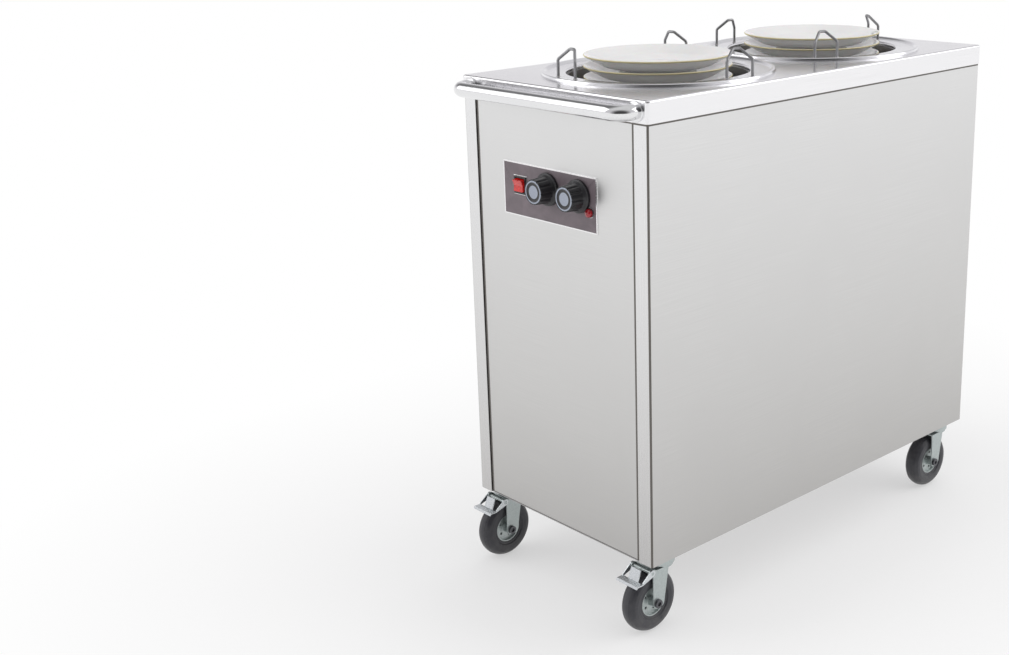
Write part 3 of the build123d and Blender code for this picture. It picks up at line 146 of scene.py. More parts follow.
class TreeSketch:
    """A node tree under construction, with short ways to add and join its nodes."""

    def __init__(self, tree: bpy.types.NodeTree) -> None:
        """Takes the tree that the nodes go into."""
        self.tree = tree

    def node(self, kind: str, settings: dict | None = None, **inputs: object) -> bpy.types.Node:
        """Adds a node.

        Args:
            kind: the node's type name.
            settings: the node's own properties.
            inputs: values or output sockets by input name, with _ for each space.
        Returns:
            The new node.
        """
        node = self.tree.nodes.new(kind)
        for name, value in (settings or {}).items():
            setattr(node, name, value)
        for name, value in inputs.items():
            self.feed(node.inputs[name.replace("_", " ")], value)
        return node

    def feed(self, socket: bpy.types.NodeSocket, value: object) -> None:
        """Joins an output to an input socket, or sets the socket's own value.

        Args:
            socket: the input socket.
            value: an output socket, or a plain value.
        """
        if isinstance(value, bpy.types.NodeSocket):
            self.tree.links.new(value, socket)
        else:
            socket.default_value = value

    def math(self, operation: str, first: object, second: object) -> bpy.types.NodeSocket:
        """One step of arithmetic on two values or sockets.

        Args:
            operation: the kind of step.
            first: a value or socket.
            second: a value or socket.
        Returns:
            The result's socket.
        """
        node = self.node("ShaderNodeMath", {"operation": operation})
        self.feed(node.inputs[0], first)
        self.feed(node.inputs[1], second)
        return node.outputs[0]

    def vector(self, operation: str, first: object, second: object = None) -> bpy.types.Node:
        """One step of arithmetic on one or two vectors or sockets.

        Args:
            operation: the kind of step.
            first: a value or socket.
            second: a value or socket.
        Returns:
            The node, because a result can be a vector or a value.
        """
        node = self.node("ShaderNodeVectorMath", {"operation": operation})
        self.feed(node.inputs[0], first)
        if second is not None:
            self.feed(node.inputs[1], second)
        return node

    def spread(
        self, value: object, low: float, high: float, start: float = 0.0, end: float = 1.0
    ) -> bpy.types.NodeSocket:
        """Maps a value from start..end to low..high, held at both ends."""
        ends = {"From_Min": start, "From_Max": end, "To_Min": low, "To_Max": high}
        return self.node("ShaderNodeMapRange", Value=value, **ends).outputs["Result"]

    def blend(
        self, factor: object, first: object, second: object, mode: str = "MIX"
    ) -> bpy.types.NodeSocket:
        """Mixes two colours by a factor.

        Args:
            factor: the share of the second colour.
            first: a colour or socket.
            second: a colour or socket.
            mode: how the second lies over the first.
        Returns:
            The mixed colour's socket.
        """
        node = self.node("ShaderNodeMix", {"data_type": "RGBA", "blend_type": mode})
        self.feed(node.inputs[MIX_FACTOR], factor)
        self.feed(node.inputs[MIX_FIRST], first)
        self.feed(node.inputs[MIX_SECOND], second)
        return node.outputs[MIX_RESULT]

    def place(self) -> bpy.types.NodeSocket:
        """The shaded point's place on its own piece."""
        return self.node("ShaderNodeTexCoord").outputs["Object"]

    def noise(self, point: object, scale: object, **settings: float) -> bpy.types.NodeSocket:
        """A soft noise's value at a point.

        Args:
            point: where it is read.
            scale: its patches in a metre.
            settings: its other inputs by name.
        Returns:
            The value, mostly between 0.3 and 0.7.
        """
        noise = self.node("ShaderNodeTexNoise", Vector=point, Scale=scale, **settings)
        return noise.outputs["Fac"]


class EffectSketch(TreeSketch):
    """A shader node group that several finishes share."""

    def __init__(self, name: str, inputs: dict[str, str], outputs: dict[str, str]) -> None:
        """Makes the group with its named sockets.

        Args:
            name: the group's name.
            inputs: socket types by input name.
            outputs: socket types by output name.
        """
        super().__init__(bpy.data.node_groups.new(name, "ShaderNodeTree"))
        for label, kind in inputs.items():
            self.tree.interface.new_socket(label, in_out="INPUT", socket_type=kind)
        for label, kind in outputs.items():
            self.tree.interface.new_socket(label, in_out="OUTPUT", socket_type=kind)
        self.entry = self.tree.nodes.new("NodeGroupInput")
        self.exit = self.tree.nodes.new("NodeGroupOutput")

    def give(self, label: str, value: bpy.types.NodeSocket) -> bpy.types.NodeTree:
        """Joins a value to one of the group's outputs, and returns the group."""
        self.feed(self.exit.inputs[label], value)
        return self.tree


class MaterialSketch(TreeSketch):
    """A material under construction."""

    def __init__(self, surface: Surface) -> None:
        """Makes the material with its Principled shader."""
        self.material = bpy.data.materials.new(surface.value)
        self.material.use_nodes = True
        super().__init__(self.material.node_tree)
        self.shader = self.tree.nodes["Principled BSDF"]

    def set(self, **sockets: object) -> None:
        """Sets or feeds the shader's sockets by name, with _ for each space."""
        for name, value in sockets.items():
            self.feed(self.shader.inputs[name.replace("_", " ")], value)

    def effect(self, group: bpy.types.NodeTree, **inputs: object) -> bpy.types.Node:
        """Places a shared effect with this material's own values."""
        return self.node("ShaderNodeGroup", {"node_tree": group}, **inputs)

    def bump(self, height: bpy.types.NodeSocket, strength: float, depth: float) -> None:
        """Raises the surface by a height mask, depth metres at most."""
        bump = self.node("ShaderNodeBump", Strength=strength, Distance=depth, Height=height)
        self.set(Normal=bump.outputs["Normal"])


class RuleSketch(TreeSketch):
    """A Geometry Nodes tree that makes pieces by a rule, with named inputs for its sizes."""

    def __init__(self, name: str, inputs: dict[str, str]) -> None:
        """Makes the tree with one geometry input, its sizes, a material and its output.

        Args:
            name: the tree's name.
            inputs: socket types of the sizes by name.
        """
        super().__init__(bpy.data.node_groups.new(name, "GeometryNodeTree"))
        self.tree.is_modifier = True
        sockets = self.tree.interface
        sockets.new_socket("Geometry", in_out="INPUT", socket_type="NodeSocketGeometry")
        for label, kind in inputs.items():
            sockets.new_socket(label, in_out="INPUT", socket_type=kind)
        sockets.new_socket("Finish", in_out="INPUT", socket_type="NodeSocketMaterial")
        sockets.new_socket("Geometry", in_out="OUTPUT", socket_type="NodeSocketGeometry")
        self.entry = self.tree.nodes.new("NodeGroupInput")
        self.exit = self.tree.nodes.new("NodeGroupOutput")

    def swept(
        self, curve: bpy.types.NodeSocket, sides: object, radius: object
    ) -> bpy.types.NodeSocket:
        """A round rod along a curve, closed at its ends.

        Args:
            curve: its path.
            sides: the flats round it.
            radius: its radius.
        Returns:
            The rod's socket.
        """
        section = self.node("GeometryNodeCurvePrimitiveCircle", Resolution=sides, Radius=radius)
        rod = self.node(
            "GeometryNodeCurveToMesh", Curve=curve, Profile_Curve=section.outputs[0], Fill_Caps=True
        )
        return rod.outputs[0]

    def copies(
        self, points: bpy.types.NodeSocket, piece: bpy.types.NodeSocket, **turn: object
    ) -> bpy.types.NodeSocket:
        """A copy of a piece on every point."""
        copies = self.node("GeometryNodeInstanceOnPoints", Points=points, Instance=piece, **turn)
        return copies.outputs[0]

    def lifted(self, geometry: bpy.types.NodeSocket, height: object) -> bpy.types.NodeSocket:
        """Geometry moved up by a height.

        Args:
            geometry: what is moved.
            height: how far.
        Returns:
            The raised geometry's socket.
        """
        lift = self.node("ShaderNodeCombineXYZ", Z=height)
        raised = self.node(
            "GeometryNodeTransform", Geometry=geometry, Translation=lift.outputs[0]
        )
        return raised.outputs[0]

    def close(self, geometry: bpy.types.NodeSocket) -> bpy.types.NodeSocket:
        """Ends the tree: real geometry that wears the finish.

        Args:
            geometry: the output to end with.
        Returns:
            The dressed geometry, which is also joined to the tree's output.
        """
        real = self.node("GeometryNodeRealizeInstances", Geometry=geometry)
        dressed = self.node(
            "GeometryNodeSetMaterial",
            Geometry=real.outputs["Geometry"],
            Material=self.entry.outputs["Finish"],
        )
        self.feed(self.exit.inputs["Geometry"], dressed.outputs["Geometry"])
        return dressed.outputs["Geometry"]

    def run(self, mesh: bpy.types.Mesh, **sizes: object) -> bpy.types.Mesh:
        """Applies the tree to a mesh.

        Args:
            mesh: what the tree works on.
            sizes: values for the tree's inputs by name, with _ for each space.
        Returns:
            The plain mesh that the tree makes.
        """
        carrier = bpy.data.objects.new("carrier", mesh)
        bpy.context.scene.collection.objects.link(carrier)
        modifier = carrier.modifiers.new("rule", "NODES")
        modifier.node_group = self.tree
        keys = {
            item.name: item.identifier
            for item in self.tree.interface.items_tree
            if item.in_out == "INPUT"
        }
        for name, value in sizes.items():
            modifier[keys[name.replace("_", " ")]] = value
        bpy.context.view_layer.update()
        graph = bpy.context.evaluated_depsgraph_get()
        made = bpy.data.meshes.new_from_object(
            carrier.evaluated_get(graph), preserve_all_data_layers=True, depsgraph=graph
        )
        carrier.modifiers.remove(modifier)
        bpy.data.objects.remove(carrier)
        return made


# ------------------------------------------------------------------ shared effects
class Effects:
    """The shader node groups that the finishes share."""

    def __init__(self) -> None:
        """Builds every group once."""
        self.grain = self.make_grain()
        self.smudge = self.make_smudge()
        self.spangle = self.make_spangle()
        self.turning = self.make_turning()
        self.dust = self.make_dust()

    def make_grain(self) -> bpy.types.NodeTree:
        """Long fine scratches, by the number of them in a metre along each axis.

        Returns:
            The group.
        """
        sketch = EffectSketch(
            "brushed_grain", {"Marks": "NodeSocketVector"}, {"Mask": "NodeSocketFloat"}
        )
        stretched = sketch.vector("MULTIPLY", sketch.place(), sketch.entry.outputs["Marks"])
        noise = sketch.noise(stretched.outputs[0], 1.0, Detail=4.0, Roughness=0.62)
        return sketch.give("Mask", sketch.spread(noise, 0.0, 1.0, 0.3, 0.7))

    def make_smudge(self) -> bpy.types.NodeTree:
        """Broad soft patches, as wiping and handling leave them.

        Returns:
            The group.
        """
        sketch = EffectSketch(
            "wiped_smudge", {"Patches": "NodeSocketFloat"}, {"Mask": "NodeSocketFloat"}
        )
        patches = sketch.entry.outputs["Patches"]
        noise = sketch.noise(sketch.place(), patches, Detail=3.0, Roughness=0.5, Distortion=1.1)
        return sketch.give("Mask", sketch.spread(noise, 0.0, 1.0, 0.36, 0.66))

    def make_spangle(self) -> bpy.types.NodeTree:
        """The mottled crystals of plated zinc, with a broader bloom over them.

        Returns:
            The group.
        """
        sketch = EffectSketch(
            "zinc_spangle",
            {"Crystals": "NodeSocketFloat"},
            {"Mask": "NodeSocketFloat", "Bloom": "NodeSocketFloat"},
        )
        place, count = sketch.place(), sketch.entry.outputs["Crystals"]
        crystals = sketch.node("ShaderNodeTexVoronoi", Vector=place, Scale=count, Randomness=1.0)
        shade = sketch.node("ShaderNodeSeparateColor", Color=crystals.outputs["Color"])
        sketch.give("Mask", shade.outputs["Red"])
        patches = sketch.math("MULTIPLY", count, 0.35)
        bloom = sketch.noise(place, patches, Detail=4.0, Roughness=0.6)
        return sketch.give("Bloom", sketch.spread(bloom, 0.0, 1.0, 0.34, 0.68))

    def make_turning(self) -> bpy.types.NodeTree:
        """Marks that run round a turned piece, read from its own turned map.

        Returns:
            The group.
        """
        sketch = EffectSketch(
            "turning_marks", {"Marks": "NodeSocketFloat"}, {"Mask": "NodeSocketFloat"}
        )
        turned = sketch.node("ShaderNodeUVMap", {"uv_map": TURNED_MAP})
        parts = sketch.node("ShaderNodeSeparateXYZ", Vector=turned.outputs["UV"])
        across = sketch.math("MULTIPLY", parts.outputs["Y"], sketch.entry.outputs["Marks"])
        around = sketch.math("MULTIPLY", parts.outputs["X"], 3.0)
        point = sketch.node("ShaderNodeCombineXYZ", X=around, Y=across)
        noise = sketch.noise(point.outputs[0], 1.0, Detail=3.0, Roughness=0.6)
        return sketch.give("Mask", sketch.spread(noise, 0.0, 1.0, 0.3, 0.7))

    def make_dust(self) -> bpy.types.NodeTree:
        """Dust that gathers below a height, broken up by a soft noise.

        Returns:
            The group.
        """
        sketch = EffectSketch(
            "floor_dust", {"Height": "NodeSocketFloat"}, {"Mask": "NodeSocketFloat"}
        )
        place = sketch.place()
        parts = sketch.node("ShaderNodeSeparateXYZ", Vector=place)
        share = sketch.math("DIVIDE", parts.outputs["Z"], sketch.entry.outputs["Height"])
        low = sketch.spread(share, 1.0, 0.0)
        patch = sketch.spread(sketch.noise(place, 90.0, Detail=3.0), 0.2, 1.0, 0.35, 0.65)
        return sketch.give("Mask", sketch.math("MULTIPLY", low, patch))


# ------------------------------------------------------------------ finishes
ZINC_DUST = (0.5, 0.48, 0.43)
TYRE_DUST = (0.33, 0.32, 0.3)

# Painted shade on tall sheets, darker towards the bottom: full below the first height and gone
# above the second.
PAINTED_SHADE_HEIGHTS = (0.12, 0.9)
PAINTED_LOW_SHADE = (0.7, 0.69, 0.675)

# Scratches in a metre along X, Y and Z: few along the brushing and many across it.
HORIZONTAL_GRAIN = (7.0, 7.0, 900.0)
VERTICAL_GRAIN = (900.0, 900.0, 7.0)
LENGTHWAYS_GRAIN = (900.0, 7.0, 900.0)
EVEN_GRAIN = (500.0, 500.0, 500.0)


def rgba(colour: Colour, shade: float = 1.0) -> tuple[float, float, float, float]:
    """A colour made lighter or darker, with full alpha."""
    return (colour[0] * shade, colour[1] * shade, colour[2] * shade, 1.0)


@dataclass(frozen=True)
class Finish(ABC):
    """One finish: its colour, its roughness and how its material is painted."""

    colour: Colour
    roughness: float

    def make(self, surface: Surface, effects: Effects) -> bpy.types.Material:
        """Builds the material.

        Args:
            surface: the finish's name.
            effects: the shared effects.
        Returns:
            The material.
        """
        sketch = MaterialSketch(surface)
        self.paint(sketch, effects)
        return sketch.material

    @abstractmethod
    def paint(self, sketch: MaterialSketch, effects: Effects) -> None:
        """Joins the effects to the shader, in each finish's own way."""


@dataclass(frozen=True)
class SheetSteel(Finish):
    """Brushed or polished sheet, wire and pressings: fine grain, wiped patches, painted shade low
    down.
    """

    marks: Triple
    grain: float = 0.05
    depth: float = 0.02 * MM
    smudge: float = 0.03
    patches: float = 5.0
    metallic: float = 1.0
    # The colour of the painted shade low down; white paints none.
    low_shade: Colour = (1.0, 1.0, 1.0)

    def paint(self, sketch: MaterialSketch, effects: Effects) -> None:
        """Joins the effects to the shader.

        Args:
            sketch: the material.
            effects: the shared effects.
        """
        grain = sketch.effect(effects.grain, Marks=self.marks).outputs["Mask"]
        smudge = sketch.effect(effects.smudge, Patches=self.patches).outputs["Mask"]
        scratched = sketch.blend(grain, rgba(self.colour, 0.95), rgba(self.colour, 1.03))
        wiped = sketch.blend(smudge, scratched, rgba(self.colour, 0.985))
        # Painted shade: below the given heights the colour is multiplied by a darker one, darkest
        # at the bottom.
        height = sketch.node("ShaderNodeSeparateXYZ", Vector=sketch.place()).outputs["Z"]
        low = sketch.spread(height, 1.0, 0.0, *PAINTED_SHADE_HEIGHTS)
        colour = sketch.blend(low, wiped, rgba(self.low_shade), "MULTIPLY")
        rough = sketch.spread(grain, self.roughness - self.grain, self.roughness + self.grain)
        worn = sketch.math("ADD", rough, sketch.spread(smudge, 0.0, self.smudge))
        sketch.set(Base_Color=colour, Roughness=worn, Metallic=self.metallic)
        sketch.bump(grain, 0.35, self.depth)


@dataclass(frozen=True)
class TurnedSteel(Finish):
    """Spun or turned metal: marks that run round the piece."""

    marks: float
    spread: float = 0.06
    depth: float = 0.03 * MM
    patches: float = 9.0

    def paint(self, sketch: MaterialSketch, effects: Effects) -> None:
        """Joins the effects to the shader.

        Args:
            sketch: the material.
            effects: the shared effects.
        """
        turning = sketch.effect(effects.turning, Marks=self.marks).outputs["Mask"]
        smudge = sketch.effect(effects.smudge, Patches=self.patches).outputs["Mask"]
        colour = sketch.blend(turning, rgba(self.colour, 0.9), rgba(self.colour, 1.04))
        rough = sketch.spread(turning, self.roughness - self.spread, self.roughness + self.spread)
        worn = sketch.math("ADD", rough, sketch.spread(smudge, 0.0, 0.04))
        sketch.set(Base_Color=colour, Roughness=worn, Metallic=1.0)
        sketch.bump(turning, 0.4, self.depth)


@dataclass(frozen=True)
class ZincPlate(Finish):
    """Zinc-plated pressings with pale crystals, a greenish cast and dust low down."""

    shadow: Colour
    crystals: float
    dust_height: float = 0.16

    def paint(self, sketch: MaterialSketch, effects: Effects) -> None:
        """Joins the effects to the shader.

        Args:
            sketch: the material.
            effects: the shared effects.
        """
        spangle = sketch.effect(effects.spangle, Crystals=self.crystals)
        dust = sketch.effect(effects.dust, Height=self.dust_height).outputs["Mask"]
        crystal = sketch.blend(
            sketch.spread(spangle.outputs["Mask"], 0.0, 0.7), rgba(self.colour), rgba(self.shadow)
        )
        bloomed = sketch.blend(
            sketch.spread(spangle.outputs["Bloom"], 0.0, 0.5), crystal, rgba(self.colour, 1.1)
        )
        colour = sketch.blend(sketch.spread(dust, 0.0, 0.18), bloomed, rgba(ZINC_DUST))
        rough = sketch.spread(
            spangle.outputs["Mask"], self.roughness - 0.04, self.roughness + 0.06
        )
        metallic = sketch.spread(dust, 0.92, 0.6)
        sketch.set(Base_Color=colour, Roughness=rough, Metallic=metallic)
        sketch.bump(spangle.outputs["Bloom"], 0.3, 0.02 * MM)


@dataclass(frozen=True)
class GlazedChina(Finish):
    """White glazed china: a smooth coat over a body that is not quite even."""

    patches: float = 22.0

    def paint(self, sketch: MaterialSketch, effects: Effects) -> None:
        """Joins the effects to the shader.

        Args:
            sketch: the material.
            effects: the shared effects.
        """
        body = sketch.effect(effects.smudge, Patches=self.patches).outputs["Mask"]
        colour = sketch.blend(body, rgba(self.colour, 0.975), rgba(self.colour))
        rough = sketch.spread(body, self.roughness, self.roughness + 0.05)
        sketch.set(Base_Color=colour, Roughness=rough)
        sketch.set(Coat_Weight=0.6, Coat_Roughness=0.04, IOR=1.52)
        sketch.set(Subsurface_Weight=0.06, Subsurface_Scale=2.0 * MM)
        sketch.bump(body, 0.15, 0.2 * MM)


@dataclass(frozen=True)
class Moulding(Finish):
    """Moulded plastic, nylon, enamel or ink: a slightly pebbled skin with handled patches."""

    pebbles: float = 1400.0
    depth: float = 0.04 * MM
    variation: float = 0.12
    patches: float = 30.0

    def paint(self, sketch: MaterialSketch, effects: Effects) -> None:
        """Joins the effects to the shader.

        Args:
            sketch: the material.
            effects: the shared effects.
        """
        marks = (self.pebbles, self.pebbles, self.pebbles)
        pebble = sketch.effect(effects.grain, Marks=marks).outputs["Mask"]
        smudge = sketch.effect(effects.smudge, Patches=self.patches).outputs["Mask"]
        low, high = 1.0 - self.variation, 1.0 + self.variation
        colour = sketch.blend(smudge, rgba(self.colour, low), rgba(self.colour, high))
        rough = sketch.spread(smudge, self.roughness - 0.05, self.roughness + 0.06)
        sketch.set(Base_Color=colour, Roughness=rough)
        sketch.bump(pebble, 0.3, self.depth)


@dataclass(frozen=True)
class TintedLens(Finish):
    """A clear red moulding that lets some light through and glows a little inside."""

    deep: Colour
    transmission: float
    glow: float
    patches: float = 120.0

    def paint(self, sketch: MaterialSketch, effects: Effects) -> None:
        """Joins the effects to the shader.

        Args:
            sketch: the material.
            effects: the shared effects.
        """
        depth = sketch.effect(effects.smudge, Patches=self.patches).outputs["Mask"]
        colour = sketch.blend(depth, rgba(self.deep), rgba(self.colour))
        rough = sketch.spread(depth, self.roughness, self.roughness + 0.06)
        sketch.set(Base_Color=colour, Roughness=rough, Transmission_Weight=self.transmission)
        sketch.set(Emission_Color=colour, Emission_Strength=self.glow, IOR=1.49)
        sketch.set(Coat_Weight=0.5, Coat_Roughness=0.05)


@dataclass(frozen=True)
class Rubber(Finish):
    """Tyre rubber: charcoal, scuffed paler on the tread, dusty near the floor."""

    scuffed: Colour
    pebbles: float = 900.0
    dust_height: float = 0.05
    patches: float = 55.0

    def paint(self, sketch: MaterialSketch, effects: Effects) -> None:
        """Joins the effects to the shader.

        Args:
            sketch: the material.
            effects: the shared effects.
        """
        marks = (self.pebbles, self.pebbles, self.pebbles)
        pebble = sketch.effect(effects.grain, Marks=marks).outputs["Mask"]
        scuff = sketch.effect(effects.smudge, Patches=self.patches).outputs["Mask"]
        dust = sketch.effect(effects.dust, Height=self.dust_height).outputs["Mask"]
        rubbed = sketch.blend(
            sketch.spread(scuff, 0.0, 0.5), rgba(self.colour), rgba(self.scuffed)
        )
        colour = sketch.blend(sketch.spread(dust, 0.0, 0.22), rubbed, rgba(TYRE_DUST))
        rough = sketch.spread(scuff, self.roughness - 0.1, self.roughness + 0.1)
        sketch.set(Base_Color=colour, Roughness=rough)
        sketch.bump(pebble, 0.35, 0.06 * MM)


FINISHES: dict[Surface, Finish] = {
    # The tall sheets wear painted shade, darker towards the bottom.
    Surface.SIDE_SHEET: SheetSteel((0.76, 0.76, 0.76), 0.34, HORIZONTAL_GRAIN, low_shade=PAINTED_LOW_SHADE),
    Surface.STRIP_SHEET: SheetSteel((0.83, 0.83, 0.84), 0.24, VERTICAL_GRAIN, low_shade=PAINTED_LOW_SHADE),
    Surface.END_SHEET: SheetSteel((0.76, 0.76, 0.76), 0.34, HORIZONTAL_GRAIN, low_shade=PAINTED_LOW_SHADE),
    # Painted shade and painted dark reflection, as a dark steel.
    Surface.PAINTED_SHADE: SheetSteel((0.15, 0.14, 0.13), 0.3, VERTICAL_GRAIN),
    Surface.LID_SHEET: SheetSteel((0.89, 0.885, 0.9), 0.18, LENGTHWAYS_GRAIN, grain=0.04),
    Surface.TUBE: SheetSteel((0.8, 0.8, 0.81), 0.1, EVEN_GRAIN, grain=0.02, smudge=0.05),
    Surface.RING: TurnedSteel((0.9, 0.9, 0.92), 0.18, 1500.0),
    Surface.WIRE: SheetSteel((0.36, 0.36, 0.37), 0.36, EVEN_GRAIN, patches=40.0),
    Surface.INNER: SheetSteel((0.42, 0.41, 0.41), 0.42, EVEN_GRAIN, smudge=0.1),
    Surface.ZINC: ZincPlate((0.5, 0.55, 0.545), 0.38, (0.42, 0.47, 0.47), 420.0),
    Surface.ZINC_BRIGHT: ZincPlate((0.7, 0.73, 0.75), 0.26, (0.62, 0.65, 0.67), 300.0),
    Surface.FASTENER: SheetSteel((0.14, 0.14, 0.15), 0.4, EVEN_GRAIN, patches=60.0),
    Surface.SPRING: SheetSteel((0.55, 0.55, 0.56), 0.3, EVEN_GRAIN, patches=60.0),
    Surface.CHINA: GlazedChina((0.93, 0.925, 0.91), 0.12),
    Surface.GILT: SheetSteel((0.78, 0.7, 0.42), 0.34, EVEN_GRAIN, metallic=0.25),
    Surface.NYLON: Moulding((0.80, 0.79, 0.72), 0.45),
    Surface.PANEL_FACE: Moulding((0.19, 0.155, 0.172), 0.36, pebbles=2600.0, depth=0.01 * MM),
    Surface.PANEL_EDGE: SheetSteel((0.86, 0.85, 0.86), 0.25, EVEN_GRAIN, patches=60.0),
    Surface.BLACK: Moulding((0.022, 0.022, 0.025), 0.34, pebbles=1100.0, variation=0.25),
    Surface.DIAL_INK: Moulding((0.3, 0.3, 0.32), 0.5),
    Surface.CAP: TurnedSteel((0.36, 0.39, 0.46), 0.16, 2600.0, spread=0.05),
    Surface.ROCKER_RED: TintedLens((0.82, 0.02, 0.015), 0.16, (0.55, 0.008, 0.008), 0.12, 0.1),
    Surface.LENS_RED: TintedLens((0.62, 0.015, 0.03), 0.08, (0.36, 0.004, 0.01), 0.25, 0.04),
    Surface.RUBBER: Rubber((0.04, 0.04, 0.048), 0.4, (0.08, 0.08, 0.085)),
    Surface.HEATER: SheetSteel((0.25, 0.21, 0.18), 0.45, EVEN_GRAIN, patches=20.0),
}


# ------------------------------------------------------------------ outlines and meshes
MERGE_DISTANCE = 0.002 * MM
FLAT_ANGLE = radians(0.3)
STRAIGHT_HALF_ANGLE = 0.499 * pi
ARC_SHARE = 0.48


def rounded(
    points: Sequence[Point], radii: Sequence[float] | float, steps: int = 5, closed: bool = True
) -> Outline:
    """Replaces the corners of an outline with arcs.

    Args:
        points: the corners.
        radii: one radius for every corner, or one for all.
        steps: straight pieces in each arc.
        closed: whether the last point joins the first.
    Returns:
        The outline with its arcs.
    """
    outline: Outline = []
    count = len(points)
    for index, point in enumerate(points):
        radius = radii if isinstance(radii, float) else radii[index]
        if radius <= 0.0 or (not closed and index in (0, count - 1)):
            outline.append(point)
            continue
        here = Vector((*point, 0.0))
        back = Vector((*points[index - 1], 0.0)) - here
        ahead = Vector((*points[(index + 1) % count], 0.0)) - here
        half = back.angle(ahead) / 2
        if half > STRAIGHT_HALF_ANGLE:
            outline.append(point)
            continue
        reach = min(radius / tan(half), ARC_SHARE * back.length, ARC_SHARE * ahead.length)
        first, last = back.normalized(), ahead.normalized()
        centre = here + (first + last).normalized() * (reach / cos(half))
        start = here + first * reach - centre
        end = here + last * reach - centre
        for step in range(steps + 1):
            spoke = start.slerp(end, step / steps) * start.length
            outline.append((centre.x + spoke.x, centre.y + spoke.y))
    return outline


def turned_mesh(
    outline: Outline,
    segments: int,
    radius_at: Callable[[float, float, float], float] | None = None,
    marked: Callable[[float, float], bool] | None = None,
) -> bpy.types.Mesh:
    """Turns a closed outline of (radius, height) points about Z.

    Args:
        outline: the closed outline.
        segments: steps in a full turn.
        radius_at: gives the radius from (radius, height, angle), for flutes and ribs.
        marked: says from (radius, height) which bands wear the second material.
    Returns:
        The closed mesh. Its map gives the share of a turn and the metres along the outline.
    """
    shape = bmesh.new()
    rings = []
    for turn in range(segments):
        angle = tau * turn / segments
        ring = []
        for radius, height in outline:
            reach = radius_at(radius, height, angle) if radius_at else radius
            ring.append(shape.verts.new((reach * cos(angle), reach * sin(angle), height)))
        rings.append(ring)
    runs = [0.0]
    count = len(outline)
    for index in range(count):
        here, after = Vector(outline[index]), Vector(outline[(index + 1) % count])
        runs.append(runs[-1] + (after - here).length)
    chart = shape.loops.layers.uv.new(TURNED_MAP)
    for turn in range(segments):
        ring, following = rings[turn], rings[(turn + 1) % segments]
        for index in range(count):
            after = (index + 1) % count
            if outline[index][0] == 0.0 and outline[after][0] == 0.0:
                continue
            face = shape.faces.new((ring[index], following[index], following[after], ring[after]))
            for loop, (around, along) in zip(face.loops, ((0, 0), (1, 0), (1, 1), (0, 1))):
                loop[chart].uv = ((turn + around) / segments, runs[index + along])
            if marked:
                radius = (outline[index][0] + outline[after][0]) / 2
                height = (outline[index][1] + outline[after][1]) / 2
                face.material_index = int(marked(radius, height))
    bmesh.ops.remove_doubles(shape, verts=shape.verts, dist=MERGE_DISTANCE)
    bmesh.ops.recalc_face_normals(shape, faces=shape.faces)
    return to_mesh(shape, "turned")


def to_mesh(shape: bmesh.types.BMesh, name: str) -> bpy.types.Mesh:
    """Writes a bmesh to a new mesh and frees it.

    Args:
        shape: the bmesh.
        name: the mesh's name.
    Returns:
        The mesh.
    """
    mesh = bpy.data.meshes.new(name)
    shape.to_mesh(mesh)
    shape.free()
    return mesh


def prism_mesh(outline: Outline, depth: float) -> bpy.types.Mesh:
    """A flat closed outline given a depth, from 0 up along Z.

    Args:
        outline: the closed outline.
        depth: its depth.
    Returns:
        The closed mesh.
    """
    shape = bmesh.new()
    low = [shape.verts.new((x, y, 0.0)) for x, y in outline]
    high = [shape.verts.new((x, y, depth)) for x, y in outline]
    shape.faces.new(low)
    shape.faces.new(high)
    count = len(outline)
    for index in range(count):
        after = (index + 1) % count
        shape.faces.new((low[index], low[after], high[after], high[index]))
    bmesh.ops.recalc_face_normals(shape, faces=shape.faces)
    return to_mesh(shape, "prism")


def chain_mesh(runs: Sequence[Sequence[Vector]]) -> bpy.types.Mesh:
    """Open chains of edges through the given points, one chain for each run.

    Args:
        runs: the points of each chain, in order.
    Returns:
        The mesh of edges.
    """
    mesh = bpy.data.meshes.new("chain")
    points: list[Vector] = []
    edges: list[tuple[int, int]] = []
    for run in runs:
        start = len(points)
        points.extend(run)
        edges.extend((start + n, start + n + 1) for n in range(len(run) - 1))
    mesh.from_pydata([tuple(point) for point in points], edges, [])
    return mesh


def point_mesh(points: Sequence[Vector]) -> bpy.types.Mesh:
    """Loose points for a tree to set copies on.

    Args:
        points: where they are.
    Returns:
        The mesh of points.
    """
    mesh = bpy.data.meshes.new("points")
    mesh.from_pydata([tuple(point) for point in points], [], [])
    return mesh


def merged_copy(node: str) -> bpy.types.Mesh:
    """A copy of a node's mesh with its triangles joined and its flats made whole.

    Args:
        node: the node.
    Returns:
        The copy.
    """
    shape = bmesh.new()
    shape.from_mesh(frame["nodes"][node].data)
    bmesh.ops.remove_doubles(shape, verts=shape.verts, dist=MERGE_DISTANCE)
    bmesh.ops.dissolve_limit(
        shape, angle_limit=FLAT_ANGLE, verts=shape.verts, edges=shape.edges
    )
    for face in shape.faces:
        face.material_index = 0
    return to_mesh(shape, node)


def joined(meshes: Sequence[bpy.types.Mesh]) -> bpy.types.Mesh:
    """Several meshes in one, with their material indices kept.

    Args:
        meshes: the meshes, in place.
    Returns:
        The one mesh.
    """
    shape = bmesh.new()
    for mesh in meshes:
        shape.from_mesh(mesh)
    return to_mesh(shape, "joined")


def moved(mesh: bpy.types.Mesh, place: Vector, facing: Facing = Facing.UP) -> bpy.types.Mesh:
    """Turns a mesh to a facing and moves it to its place."""
    mesh.transform(Matrix.Translation(place) @ facing.turn())
    return mesh


